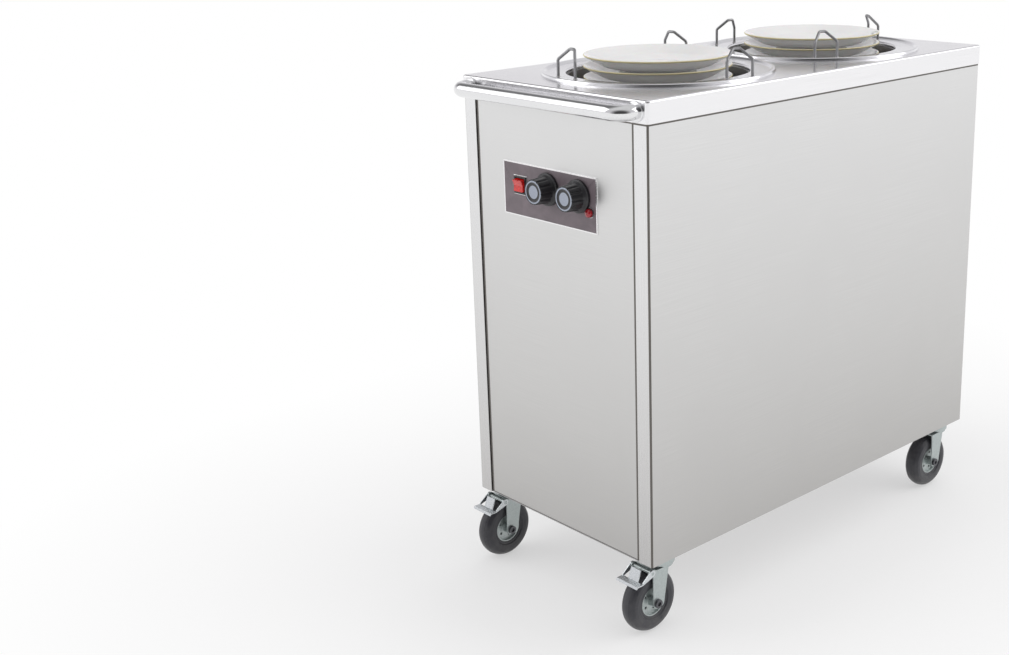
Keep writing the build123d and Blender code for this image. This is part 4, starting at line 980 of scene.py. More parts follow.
# ------------------------------------------------------------------ places from the frame
@dataclass(frozen=True)
class Span:
    """The box of a node, from its lowest to its highest corner."""

    low: Vector
    high: Vector

    @classmethod
    def of(cls, node: str) -> "Span":
        """The box of a node at rest."""
        low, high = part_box(node)
        return cls(low, high)

    @property
    def centre(self) -> Vector:
        """The middle of the box."""
        return (self.low + self.high) / 2

    @property
    def size(self) -> Vector:
        """The box's sides."""
        return self.high - self.low


def slots_by_node() -> dict[str, str]:
    """The record's material slot of every node."""
    return {part["node"]: part["material_slot"] for part in frame["record"]["subparts"]}


# ------------------------------------------------------------------ the bench
SHARP_ANGLE = radians(32.0)
BEVEL_ANGLE = radians(40.0)

# How far edges are eased, from the finest pieces to the heaters' bars.
FINE_EASE = 0.3 * MM
SMALL_EASE = 0.4 * MM
THICK_EASE = 0.5 * MM
BAR_EASE = 0.8 * MM


class Bench:
    """Where meshes become finished pieces that ride on their bodies."""

    def __init__(self) -> None:
        """Makes every finish and looks up the record's slots."""
        self.effects = Effects()
        self.materials = {
            surface: finish.make(surface, self.effects) for surface, finish in FINISHES.items()
        }
        self.slots = slots_by_node()
        self.names: list[str] = []

    def body_of(self, node: str) -> str:
        """The body that a node rides on."""
        return frame["nodes"][node]["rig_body"]

    def set_down(
        self,
        name: str,
        mesh: bpy.types.Mesh,
        node: str,
        surfaces: Sequence[Surface],
        stands_for: bool = True,
        bevel: float = 0.0,
        blend: tuple[str, str, Vector, Vector] | None = None,
    ) -> bpy.types.Object:
        """Makes a finished piece of a mesh.

        Args:
            name: the piece's name.
            mesh: its mesh, in place.
            node: the node whose body and slot it shares.
            surfaces: its finishes, by material index.
            stands_for: whether the node is hidden and this piece shown in its place.
            bevel: the width of its eased edges, or 0.
            blend: two bodies and two points, for a piece that joins them; if given, the piece stays
                on no body, and the values themselves are not used.
        Returns:
            The piece.
        """
        # Clearing a mesh's materials also sets every face to the first, so the faces are noted.
        worn = [face.material_index for face in mesh.polygons]
        mesh.materials.clear()
        for surface in surfaces:
            mesh.materials.append(self.materials[surface])
        mesh.polygons.foreach_set("material_index", worn)
        mesh.shade_smooth()
        mesh.set_sharp_from_angle(angle=SHARP_ANGLE)
        mesh.name = name
        piece = bpy.data.objects.new(name, mesh)
        bpy.context.scene.collection.objects.link(piece)
        if bevel > 0.0:
            edge = piece.modifiers.new("eased edges", "BEVEL")
            edge.width = bevel
            edge.segments = 2
            edge.limit_method = "ANGLE"
            edge.angle_limit = BEVEL_ANGLE
            weights = piece.modifiers.new("flat normals", "WEIGHTED_NORMAL")
            weights.keep_sharp = True
        if blend:
            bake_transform(piece)
        else:
            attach(piece, self.body_of(node))
        if stands_for:
            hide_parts(node)
        self.names.append(name)
        LOG.info("%s rides on %s", name, self.body_of(node))
        return piece

    def copy_node(self, node: str, surface: Surface, bevel: float = 0.0) -> bpy.types.Object:
        """Shows a smooth copy of a node in its place."""
        return self.set_down(node + "_smooth", merged_copy(node), node, [surface], bevel=bevel)


# ------------------------------------------------------------------ rules
WASHER_HEIGHT = 1.2 * MM
WASHER_SHARE = 1.12
HEAD_TOP_SHARE = 0.93


class Rules:
    """The Geometry Nodes trees for what repeats or follows a path."""

    def __init__(self) -> None:
        """Builds every tree once."""
        self.bent_rod = self.make_bent_rod()
        self.collars = self.make_collars()
        self.coils = self.make_coils()
        self.stack = self.make_stack()
        self.bolts = self.make_bolts()
        self.ticks = self.make_ticks()

    def make_bent_rod(self) -> RuleSketch:
        """A rod or tube along chains of points, with rounded bends.

        Returns:
            The rule.
        """
        sketch = RuleSketch(
            "bent_rod",
            {
                "Rod Radius": "NodeSocketFloat",
                "Bend Radius": "NodeSocketFloat",
                "Bend Steps": "NodeSocketInt",
                "Sides": "NodeSocketInt",
            },
        )
        sizes = sketch.entry.outputs
        path = sketch.node("GeometryNodeMeshToCurve", Mesh=sizes["Geometry"])
        bent = sketch.node(
            "GeometryNodeFilletCurve",
            {"mode": "POLY"},
            Curve=path.outputs[0],
            Count=sizes["Bend Steps"],
            Radius=sizes["Bend Radius"],
            Limit_Radius=True,
        )
        sketch.close(sketch.swept(bent.outputs[0], sizes["Sides"], sizes["Rod Radius"]))
        return sketch

    def make_collars(self) -> RuleSketch:
        """A small flared collar on every point, as a weld leaves at a wire's foot.

        Returns:
            The rule.
        """
        sketch = RuleSketch(
            "collars",
            {
                "Foot Radius": "NodeSocketFloat",
                "Top Radius": "NodeSocketFloat",
                "Height": "NodeSocketFloat",
                "Sides": "NodeSocketInt",
            },
        )
        sizes = sketch.entry.outputs
        collar = sketch.node(
            "GeometryNodeMeshCone",
            Vertices=sizes["Sides"],
            Side_Segments=3,
            Radius_Top=sizes["Top Radius"],
            Radius_Bottom=sizes["Foot Radius"],
            Depth=sizes["Height"],
        )
        sketch.close(sketch.copies(sizes["Geometry"], collar.outputs["Mesh"]))
        return sketch

    def make_coils(self) -> RuleSketch:
        """A close coil of wire that rises from every point.

        Returns:
            The rule.
        """
        sketch = RuleSketch(
            "coils",
            {
                "Turns": "NodeSocketFloat",
                "Coil Radius": "NodeSocketFloat",
                "Coil Height": "NodeSocketFloat",
                "Wire Radius": "NodeSocketFloat",
                "Steps in Turn": "NodeSocketInt",
                "Sides": "NodeSocketInt",
            },
        )
        sizes = sketch.entry.outputs
        helix = sketch.node(
            "GeometryNodeCurveSpiral",
            Resolution=sizes["Steps in Turn"],
            Rotations=sizes["Turns"],
            Start_Radius=sizes["Coil Radius"],
            End_Radius=sizes["Coil Radius"],
            Height=sizes["Coil Height"],
        )
        wire = sketch.swept(helix.outputs[0], sizes["Sides"], sizes["Wire Radius"])
        sketch.close(sketch.copies(sizes["Geometry"], wire))
        return sketch

    def make_stack(self) -> RuleSketch:
        """Copies of one plate, each a pitch above the last, with its gold line in its own metal.

        Returns:
            The rule.
        """
        sketch = RuleSketch(
            "stack",
            {
                "Count": "NodeSocketInt",
                "Pitch": "NodeSocketFloat",
                "Gilding": "NodeSocketMaterial",
            },
        )
        sizes = sketch.entry.outputs
        step = sketch.node("ShaderNodeCombineXYZ", Z=sizes["Pitch"])
        line = sketch.node("GeometryNodeMeshLine", Count=sizes["Count"], Offset=step.outputs[0])
        china = sketch.close(sketch.copies(line.outputs[0], sizes["Geometry"]))
        band = sketch.node(
            "GeometryNodeInputNamedAttribute", {"data_type": "FLOAT"}, Name=GILT_ATTRIBUTE
        )
        gilded = sketch.node(
            "GeometryNodeSetMaterial",
            Geometry=china,
            Selection=sketch.math("GREATER_THAN", band.outputs["Attribute"], 0.5),
            Material=sizes["Gilding"],
        )
        sketch.feed(sketch.exit.inputs["Geometry"], gilded.outputs["Geometry"])
        return sketch

    def make_bolts(self) -> RuleSketch:
        """A hexagon head with its washer and shank on every point, head up.

        Returns:
            The rule.
        """
        sketch = RuleSketch(
            "bolts",
            {
                "Head Radius": "NodeSocketFloat",
                "Head Height": "NodeSocketFloat",
                "Shank Radius": "NodeSocketFloat",
                "Shank Length": "NodeSocketFloat",
                "Turn": "NodeSocketRotation",
            },
        )
        sizes = sketch.entry.outputs
        head = sketch.node(
            "GeometryNodeMeshCone",
            Vertices=6,
            Radius_Bottom=sizes["Head Radius"],
            Radius_Top=sketch.math("MULTIPLY", sizes["Head Radius"], HEAD_TOP_SHARE),
            Depth=sizes["Head Height"],
        )
        washer = sketch.node(
            "GeometryNodeMeshCylinder",
            Vertices=32,
            Radius=sketch.math("MULTIPLY", sizes["Head Radius"], WASHER_SHARE),
            Depth=WASHER_HEIGHT,
        )
        shank = sketch.node(
            "GeometryNodeMeshCylinder",
            Vertices=24,
            Radius=sizes["Shank Radius"],
            Depth=sizes["Shank Length"],
        )
        drop = sketch.math("MULTIPLY", sizes["Shank Length"], -0.5)
        bolt = sketch.node("GeometryNodeJoinGeometry")
        for part, height in ((head, WASHER_HEIGHT), (washer, WASHER_HEIGHT / 2), (shank, drop)):
            sketch.feed(bolt.inputs[0], sketch.lifted(part.outputs["Mesh"], height))
        turn = sizes["Turn"]
        sketch.close(sketch.copies(sizes["Geometry"], bolt.outputs[0], Rotation=turn))
        return sketch

    def make_ticks(self) -> RuleSketch:
        """Small bars set along an arc, each along its radius.

        Returns:
            The rule.
        """
        sketch = RuleSketch(
            "ticks",
            {
                "Count": "NodeSocketInt",
                "Radius": "NodeSocketFloat",
                "Sweep": "NodeSocketFloat",
                "Tick Size": "NodeSocketVector",
            },
        )
        sizes = sketch.entry.outputs
        arc = sketch.node(
            "GeometryNodeCurveArc",
            Resolution=sizes["Count"],
            Radius=sizes["Radius"],
            Sweep_Angle=sizes["Sweep"],
        )
        stations = sketch.node(
            "GeometryNodeCurveToPoints", {"mode": "EVALUATED"}, Curve=arc.outputs["Curve"]
        )
        bar = sketch.node("GeometryNodeMeshCube", Size=sizes["Tick Size"])
        turn = stations.outputs["Rotation"]
        points = stations.outputs["Points"]
        sketch.close(sketch.copies(points, bar.outputs["Mesh"], Rotation=turn))
        return sketch


# ------------------------------------------------------------------ cabinet
@dataclass
class Cabinet:
    """The lid, panels, pan and chassis."""

    bench: Bench
    rules: Rules
    edge_ease: float = 0.35 * MM
    strip_depth: float = 1.2 * MM
    panel_bend: float = 4.2 * MM
    bent_slope: float = 0.3
    strip_slope: float = 0.7
    # The width of the painted shade along an end panel's edges beside the strips.
    edge_shade_width: float = 4.5 * MM
    lip_shade: float = 3.2 * MM
    head_radius: float = 27.0 * MM
    bolt_head: float = 9.2 * MM
    bolt_shank: float = 5.0 * MM
    bolt_seat: float = 1.4 * MM
    gland_hexagon: float = 5.0 * MM
    gland_flats: float = 22.0 * MM
    gland_thread: float = 8.0 * MM
    gland_dome: float = 9.0 * MM
    gland_nose: float = 6.4 * MM
    gland_bore: float = 4.5 * MM
    gland_ribs: int = 18
    gland_rib_depth: float = 0.35 * MM

    def build(self) -> None:
        """Makes every piece of the cabinet."""
        self.bench.copy_node("lid", Surface.LID_SHEET, self.edge_ease)
        for side in ("right", "left"):
            self.side_panel(side)
        for end in ("front", "rear"):
            self.end_panel(end)
        self.bench.copy_node("base_pan", Surface.INNER)
        self.bench.copy_node("chassis_frame", Surface.INNER, self.edge_ease)
        self.mount_bolts()
        self.gland()

    def cut_copy(self, node: str, planes: Sequence[tuple[Vector, Vector]]) -> bpy.types.Mesh:
        """A joined copy of a node, cut along planes so that its bands can wear other finishes.

        Args:
            node: the node.
            planes: a point and a normal of each plane.
        Returns:
            The cut mesh.
        """
        shape = bmesh.new()
        shape.from_mesh(merged_copy(node))
        for point, normal in planes:
            whole = [*shape.verts, *shape.edges, *shape.faces]
            bmesh.ops.bisect_plane(shape, geom=whole, plane_co=point, plane_no=normal)
        return to_mesh(shape, node)

    @property
    def shade_line(self) -> float:
        """The height down to which painted shade from the lid's lip reaches on the panels."""
        return Span.of("lid").low.z - self.lip_shade

    def side_panel(self, side: str) -> None:
        """A long side: bright corner strips, a painted dark reflection on the bends, painted shade
        under the lip.

        Args:
            side: right or left.
        """
        node = "side_panel_" + side
        span = Span.of(node)
        line = self.shade_line
        mesh = self.cut_copy(node, [(Vector((0.0, 0.0, line)), Vector((0.0, 0.0, 1.0)))])
        # Painted shade on the band under the lip, and a painted dark reflection on the bends near
        # the ends.
        for face in mesh.polygons:
            reach = min(abs(face.center.y - span.low.y), abs(face.center.y - span.high.y))
            bent = min(abs(face.normal.x), abs(face.normal.y)) > self.bent_slope
            if face.center.z > line or (bent and reach < self.panel_bend):
                face.material_index = 2
            elif abs(face.normal.y) > self.strip_slope and reach < self.strip_depth:
                face.material_index = 1
        surfaces = [Surface.SIDE_SHEET, Surface.STRIP_SHEET, Surface.PAINTED_SHADE]
        self.bench.set_down(node + "_smooth", mesh, node, surfaces, bevel=self.edge_ease)

    def end_panel(self, end: str) -> None:
        """An end panel: its edges and its top wear painted shade, for the shade of the strips and
        the lip.

        Args:
            end: front or rear.
        """
        node = end + "_panel"
        span = Span.of(node)
        line = self.shade_line
        left, right = span.low.x + self.edge_shade_width, span.high.x - self.edge_shade_width
        across, upward = Vector((1.0, 0.0, 0.0)), Vector((0.0, 0.0, 1.0))
        planes = [
            (Vector((left, 0.0, 0.0)), across),
            (Vector((right, 0.0, 0.0)), across),
            (Vector((0.0, 0.0, line)), upward),
        ]
        mesh = self.cut_copy(node, planes)
        # Painted shade on the edges beside the strips and on the band under the lip.
        for face in mesh.polygons:
            if not left < face.center.x < right or face.center.z > line:
                face.material_index = 1
        surfaces = [Surface.END_SHEET, Surface.PAINTED_SHADE]
        self.bench.set_down(node + "_smooth", mesh, node, surfaces, bevel=self.edge_ease)

    def mount_bolts(self) -> None:
        """The hexagon bolts over the casters, on the chassis rails."""
        node = "caster_mount_bolts"
        span, heads = Span.of(node), Span.of("caster_heads")
        rail_top = Span.of("chassis_frame").high.z
        inset = self.head_radius
        points = [
            Vector((x, y, rail_top))
            for y in (heads.low.y + inset, heads.high.y - inset)
            for x in (heads.high.x - inset, heads.low.x + inset)
        ]
        mesh = self.rules.bolts.run(
            point_mesh(points),
            Head_Radius=self.bolt_head,
            Head_Height=span.high.z - rail_top - self.bolt_seat,
            Shank_Radius=self.bolt_shank,
            Shank_Length=rail_top - span.low.z,
            Finish=self.bench.materials[Surface.FASTENER],
        )
        self.bench.set_down("caster_bolts", mesh, node, [Surface.FASTENER])

    def gland(self) -> None:
        """The supply lead's gland: a hexagon, a ribbed domed nut and its open bore."""
        node = "cable_gland"
        span = Span.of(node)
        face_y = Span.of("rear_panel").high.y
        nose, tail = span.high.y - face_y, face_y - span.low.y
        hexagon, dome, bore = self.gland_hexagon, self.gland_dome, self.gland_bore
        outline = rounded(
            [
                (bore, -tail),
                (self.gland_thread, -tail),
                (self.gland_thread, hexagon),
                (dome, hexagon),
                (dome, nose - 3.5 * MM),
                (self.gland_nose, nose),
                (bore, nose),
            ],
            [0.0, 0.0, 0.0, 0.6 * MM, 2.0 * MM, 0.8 * MM, 0.4 * MM],
        )

        def ribbed(radius: float, height: float, angle: float) -> float:
            """The radius with grip ribs round the dome.

            Args:
                radius: the distance of the outline's point from the axis.
                height: its height.
                angle: how far round it is.
            Returns:
                The radius to use there.
            """
            grip = radius > 0.95 * dome and height > 1.3 * hexagon
            cut = grip and cos(self.gland_ribs * angle) < 0
            return radius - (self.gland_rib_depth if cut else 0.0)

        turned = turned_mesh(outline, 144, ribbed)
        across = self.gland_flats / 2 / cos(pi / 6)
        corners = [(across * cos(pi * n / 3), across * sin(pi * n / 3)) for n in range(6)]
        nut = prism_mesh(rounded(corners, 1.0 * MM, 3), hexagon)
        place = Vector((span.centre.x, face_y, span.centre.z))
        mesh = moved(joined([turned, nut]), place, Facing.REARWARD)
        self.bench.set_down("gland_nut", mesh, node, [Surface.BLACK])


# ------------------------------------------------------------------ handle
@dataclass
class Handle:
    """The push handle: a bent tube, its two feet and the screws behind them."""

    bench: Bench
    rules: Rules
    tube_radius: float = 12.5 * MM
    bend_radius: float = 24.0 * MM
    foot_radius: float = 16.5 * MM
    foot_depth: float = 3.0 * MM
    tube_wall: float = 2.0 * MM
    screw_radius: float = 3.0 * MM
    screw_head_radius: float = 5.6 * MM
    screw_head_height: float = 2.7 * MM
    screw_seat: float = 4.0 * MM

    def build(self) -> None:
        """Makes every piece of the handle."""
        self.tube()
        self.feet()
        self.screws()

    def legs(self) -> tuple[float, float]:
        """The X of the right leg's axis and the height of both."""
        span = Span.of("handle_tube")
        return span.high.x - self.tube_radius, span.centre.z

    def tube(self) -> None:
        """The polished tube, bent back to the lid's lip at both ends."""
        node = "handle_tube"
        span = Span.of(node)
        leg, height = self.legs()
        front = span.low.y + self.tube_radius
        path = [
            Vector((-leg, span.high.y, height)),
            Vector((-leg, front, height)),
            Vector((leg, front, height)),
            Vector((leg, span.high.y, height)),
        ]
        mesh = self.rules.bent_rod.run(
            chain_mesh([path]),
            Rod_Radius=self.tube_radius,
            Bend_Radius=self.bend_radius,
            Bend_Steps=20,
            Sides=64,
            Finish=self.bench.materials[Surface.TUBE],
        )
        self.bench.set_down("handle_bar", mesh, node, [Surface.TUBE])

    def feet(self) -> None:
        """A round foot under each end, with a rounded rim and a spigot inside the tube."""
        node = "handle_flanges"
        span = Span.of(node)
        leg, height = self.legs()
        spigot, length = self.tube_radius - self.tube_wall, span.high.y - span.low.y
        outline = rounded(
            [
                (0.0, 0.0),
                (self.foot_radius, 0.0),
                (self.foot_radius, self.foot_depth),
                (spigot, self.foot_depth),
                (spigot, length),
                (0.0, length),
            ],
            [0.0, 0.3 * MM, 1.0 * MM, 0.5 * MM, 0.3 * MM, 0.0],
        )
        feet = []
        for x in (-leg, leg):
            place = Vector((x, span.high.y, height))
            feet.append(moved(turned_mesh(outline, 96), place, Facing.FORWARD))
        self.bench.set_down("handle_feet", joined(feet), node, [Surface.TUBE])

    def screws(self) -> None:
        """The hexagon screws inside the corner strips."""
        node = "handle_screws"
        span = Span.of(node)
        leg, height = self.legs()
        seat = span.high.y - self.screw_seat
        points = [Vector((x, seat, height)) for x in (-leg, leg)]
        mesh = self.rules.bolts.run(
            point_mesh(points),
            Head_Radius=self.screw_head_radius,
            Head_Height=self.screw_head_height,
            Shank_Radius=self.screw_radius,
            Shank_Length=seat - span.low.y,
            Turn=(-pi / 2, 0.0, 0.0),
            Finish=self.bench.materials[Surface.FASTENER],
        )
        self.bench.set_down("handle_bolts", mesh, node, [Surface.FASTENER])


# ------------------------------------------------------------------ wells
@dataclass
class Well:
    """One well: its ring, can, guides and stack of plates."""

    bench: Bench
    rules: Rules
    name: str
    guide_angles: tuple[float, ...]
    guide_turns: tuple[float, ...]
    neck_radius: float = 157.5 * MM
    ring_sheet: float = 1.5 * MM
    bead: float = 11.0 * MM
    wire_radius: float = 2.5 * MM
    guide_radius: float = 176.0 * MM
    guide_span: float = 47.0 * MM
    guide_leg: float = 29.0 * MM
    guide_height: float = 49.0 * MM
    guide_lean: float = 13.0 * MM
    guide_top_share: float = 0.26
    guide_bend: float = 6.0 * MM
    plate_count: int = 4
    plate_pitch: float = 19.0 * MM
    plate_radius: float = 128.0 * MM
    plate_height: float = 40.0 * MM
    plate_foot: float = 66.0 * MM
    foot_height: float = 12.0 * MM
    plate_body: float = 7.0 * MM
    gilt_line: float = 1.3 * MM
    gilt_drop: float = 5.0 * MM

    def build(self) -> None:
        """Makes every piece of the well."""
        self.ring()
        self.bench.copy_node("well_can_" + self.name, Surface.INNER)
        self.guides()
        self.plates()

    @property
    def centre(self) -> Vector:
        """The middle of the ring, at the height of the deck."""
        span = Span.of("well_ring_" + self.name)
        return Vector((span.centre.x, span.centre.y, Span.of("lid").high.z))

    def ring(self) -> None:
        """The spun ring: neck, flange and raised outer bead, with a rolled lip under it."""
        node = "well_ring_" + self.name
        span = Span.of(node)
        outer = span.size.x / 2
        neck, sheet, bead = self.neck_radius, self.ring_sheet, self.bead
        top = span.high.z - self.centre.z
        base = span.low.z - self.centre.z
        upper = [
            (neck, base),
            (neck, sheet),
            (outer - bead, sheet),
            (outer - 0.62 * bead, top),
            (outer - 0.2 * bead, top),
            (outer - 0.1 * bead, top - 0.7 * MM),
            (outer, 0.9 * MM),
        ]
        lower = [
            (outer, 0.0),
            (outer - sheet, 0.0),
            (outer - 0.32 * bead, top - sheet),
            (outer - 0.62 * bead, top - sheet),
            (outer - bead, 0.0),
            (neck + sheet, 0.0),
            (neck + sheet, base),
        ]
        radii = [
            0.3 * MM, 3.2 * MM, 3.0 * MM, 3.0 * MM, 0.8 * MM, 0.8 * MM, 0.4 * MM,
            0.3 * MM, 0.3 * MM, 2.0 * MM, 2.0 * MM, 3.0 * MM, 1.8 * MM, 0.3 * MM,
        ]
        mesh = moved(turned_mesh(rounded(upper + lower, radii, 6), 256), self.centre)
        self.bench.set_down("spun_ring_" + self.name, mesh, node, [Surface.RING])

    def guide_places(self) -> list[Matrix]:
        """The place of each guide, between its two feet, with its own turn.

        Returns:
            A matrix for each guide.
        """
        foot = Span.of("plate_guides_" + self.name).low.z
        places = []
        for angle, turn in zip(self.guide_angles, self.guide_turns):
            reach = Matrix.Rotation(radians(angle), 4, "Z") @ Vector((self.guide_radius, 0.0, 0.0))
            place = Vector((self.centre.x + reach.x, self.centre.y + reach.y, foot))
            facing = Matrix.Rotation(radians(angle + turn), 4, "Z")
            places.append(Matrix.Translation(place) @ facing)
        return places

    def guides(self) -> None:
        """Three bent wire hoops that lean in over the stack, and the weld at each foot."""
        node = "plate_guides_" + self.name
        half = self.guide_span / 2
        top_half = half * self.guide_top_share
        top = self.guide_height - self.wire_radius
        path = [
            Vector((0.0, -half, 0.0)),
            Vector((0.0, -half, self.guide_leg)),
            Vector((-self.guide_lean, -top_half, top)),
            Vector((-self.guide_lean, top_half, top)),
            Vector((0.0, half, self.guide_leg)),
            Vector((0.0, half, 0.0)),
        ]
        runs = [[place @ point for point in path] for place in self.guide_places()]
        hoops = self.rules.bent_rod.run(
            chain_mesh(runs),
            Rod_Radius=self.wire_radius,
            Bend_Radius=self.guide_bend,
            Bend_Steps=8,
            Sides=20,
            Finish=self.bench.materials[Surface.WIRE],
        )
        self.bench.set_down("wire_hoops_" + self.name, hoops, node, [Surface.WIRE])
        feet = [run[n] for run in runs for n in (0, -1)]
        welds = self.rules.collars.run(
            point_mesh(feet),
            Foot_Radius=1.5 * self.wire_radius,
            Top_Radius=1.02 * self.wire_radius,
            Height=0.7 * self.wire_radius,
            Sides=24,
            Finish=self.bench.materials[Surface.INNER],
        )
        self.bench.set_down(
            "hoop_welds_" + self.name, welds, node, [Surface.INNER], stands_for=False
        )

    def plate_outline(self) -> Outline:
        """Half of a deep coupe plate's section: tall foot ring, well, rising wall and rim.

        Returns:
            The closed outline.
        """
        rim, height, foot = self.plate_radius, self.plate_height, self.plate_foot
        under, over = self.foot_height, self.foot_height + self.plate_body
        return rounded(
            [
                (0.0, under),
                (foot - 7.5 * MM, under),
                (foot - 6.0 * MM, 0.0),
                (foot, 0.0),
                (foot + 1.5 * MM, under),
                (96.0 * MM, 19.5 * MM),
                (rim - 1.2 * MM, height - 3.2 * MM),
                (rim, height - 1.6 * MM),
                (rim - 1.2 * MM, height),
                (rim - 3.4 * MM, height - 0.7 * MM),
                (93.5 * MM, 26.5 * MM),
                (foot, over),
                (0.0, over),
            ],
            [
                0.0, 2.5 * MM, 1.4 * MM, 1.8 * MM, 4.0 * MM, 60.0 * MM, 2.0 * MM,
                1.2 * MM, 1.2 * MM, 2.0 * MM, 60.0 * MM, 30.0 * MM, 0.0,
            ],
            6,
        )

    def plates(self) -> None:
        """The nested stack, each plate with a gold line round its edge."""
        node = "plates_" + self.name
        span = Span.of(node)
        edge = self.plate_radius - self.gilt_line
        line = self.plate_height - self.gilt_drop

        def gilded(radius: float, height: float) -> bool:
            """Whether a band of the plate is part of its gold line."""
            return radius > edge and height > line

        china, gilt = (self.bench.materials[s] for s in (Surface.CHINA, Surface.GILT))
        plate = turned_mesh(self.plate_outline(), 128, marked=gilded)
        plate.materials.append(china)
        plate.materials.append(gilt)
        band = plate.attributes.new(GILT_ATTRIBUTE, "FLOAT", "FACE")
        band.data.foreach_set("value", [float(face.material_index) for face in plate.polygons])
        plate = moved(plate, Vector((self.centre.x, self.centre.y, span.low.z)))
        count, pitch = self.plate_count, self.plate_pitch
        mesh = self.rules.stack.run(plate, Count=count, Pitch=pitch, Gilding=gilt, Finish=china)
        self.bench.set_down(
            "china_stack_" + self.name, mesh, node, [Surface.CHINA, Surface.GILT]
        )


# ------------------------------------------------------------------ carriers
@dataclass
class Carrier:
    """One spring-loaded platform with its yoke, glides and springs."""

    bench: Bench
    rules: Rules
    well: Well
    spring_angles: tuple[float, ...] = (90.0, 210.0, 330.0)
    spring_radius: float = 6.0 * MM
    coil_radius: float = 5.2 * MM
    wire_radius: float = 0.75 * MM
    coil_turns: float = 62.0
    hook_length: float = 14.0 * MM
    hook_bend: float = 2.0 * MM

    def build(self) -> None:
        """Makes every piece of the carrier."""
        name = self.well.name
        self.bench.copy_node("carrier_plate_" + name, Surface.INNER, FINE_EASE)
        self.bench.copy_node("carrier_yoke_" + name, Surface.INNER, FINE_EASE)
        self.bench.copy_node("carrier_glides_" + name, Surface.NYLON, FINE_EASE)
        self.springs()

    def springs(self) -> None:
        """Three extension springs with a hooked eye at each end."""
        node = "springs_" + self.well.name
        span = Span.of(node)
        centre = self.well.centre
        reach = span.high.y - self.spring_radius - centre.y
        base = span.low.z + self.hook_length
        height = span.size.z - 2 * self.hook_length
        finish = self.bench.materials[Surface.SPRING]
        stations = [
            Vector((centre.x + reach * cos(angle), centre.y + reach * sin(angle), base))
            for angle in map(radians, self.spring_angles)
        ]
        coils = self.rules.coils.run(
            point_mesh(stations),
            Turns=self.coil_turns,
            Coil_Radius=self.coil_radius,
            Coil_Height=height,
            Wire_Radius=self.wire_radius,
            Steps_in_Turn=14,
            Sides=6,
            Finish=finish,
        )
        eye = self.hook_length - self.wire_radius
        hook = [
            Vector((self.coil_radius, 0.0, 0.0)),
            Vector((self.coil_radius, 0.0, 0.35 * eye)),
            Vector((0.0, 0.0, 0.35 * eye)),
            Vector((-0.6 * self.coil_radius, 0.0, 0.6 * eye)),
            Vector((0.0, 0.0, eye)),
            Vector((0.7 * self.coil_radius, 0.0, 0.8 * eye)),
        ]
        runs = []
        for station in stations:
            top = station + Vector((0.0, 0.0, height))
            runs.append([top + point for point in hook])
            runs.append([station + Vector((point.x, 0.0, -point.z)) for point in hook])
        hooks = self.rules.bent_rod.run(
            chain_mesh(runs),
            Rod_Radius=self.wire_radius,
            Bend_Radius=self.hook_bend,
            Bend_Steps=4,
            Sides=8,
            Finish=finish,
        )
        body = self.bench.body_of(node)
        top = Vector((centre.x, centre.y, span.high.z))
        foot = Vector((centre.x, centre.y, span.low.z))
        self.bench.set_down(
            "coil_springs_" + self.well.name,
            joined([coils, hooks]),
            node,
            [Surface.SPRING],
            blend=(CABINET_BODY, body, top, foot),
        )


# ------------------------------------------------------------------ innards
@dataclass
class Innards:
    """What the cabinet hides: heaters, their stands, thermostats and spring hangers."""

    bench: Bench

    def build(self) -> None:
        """Makes every inner piece."""
        self.bench.copy_node("heating_elements", Surface.HEATER, BAR_EASE)
        self.bench.copy_node("heater_stands", Surface.INNER, FINE_EASE)
        self.bench.copy_node("thermostats", Surface.BLACK, THICK_EASE)
        self.bench.copy_node("spring_hangers", Surface.INNER, FINE_EASE)


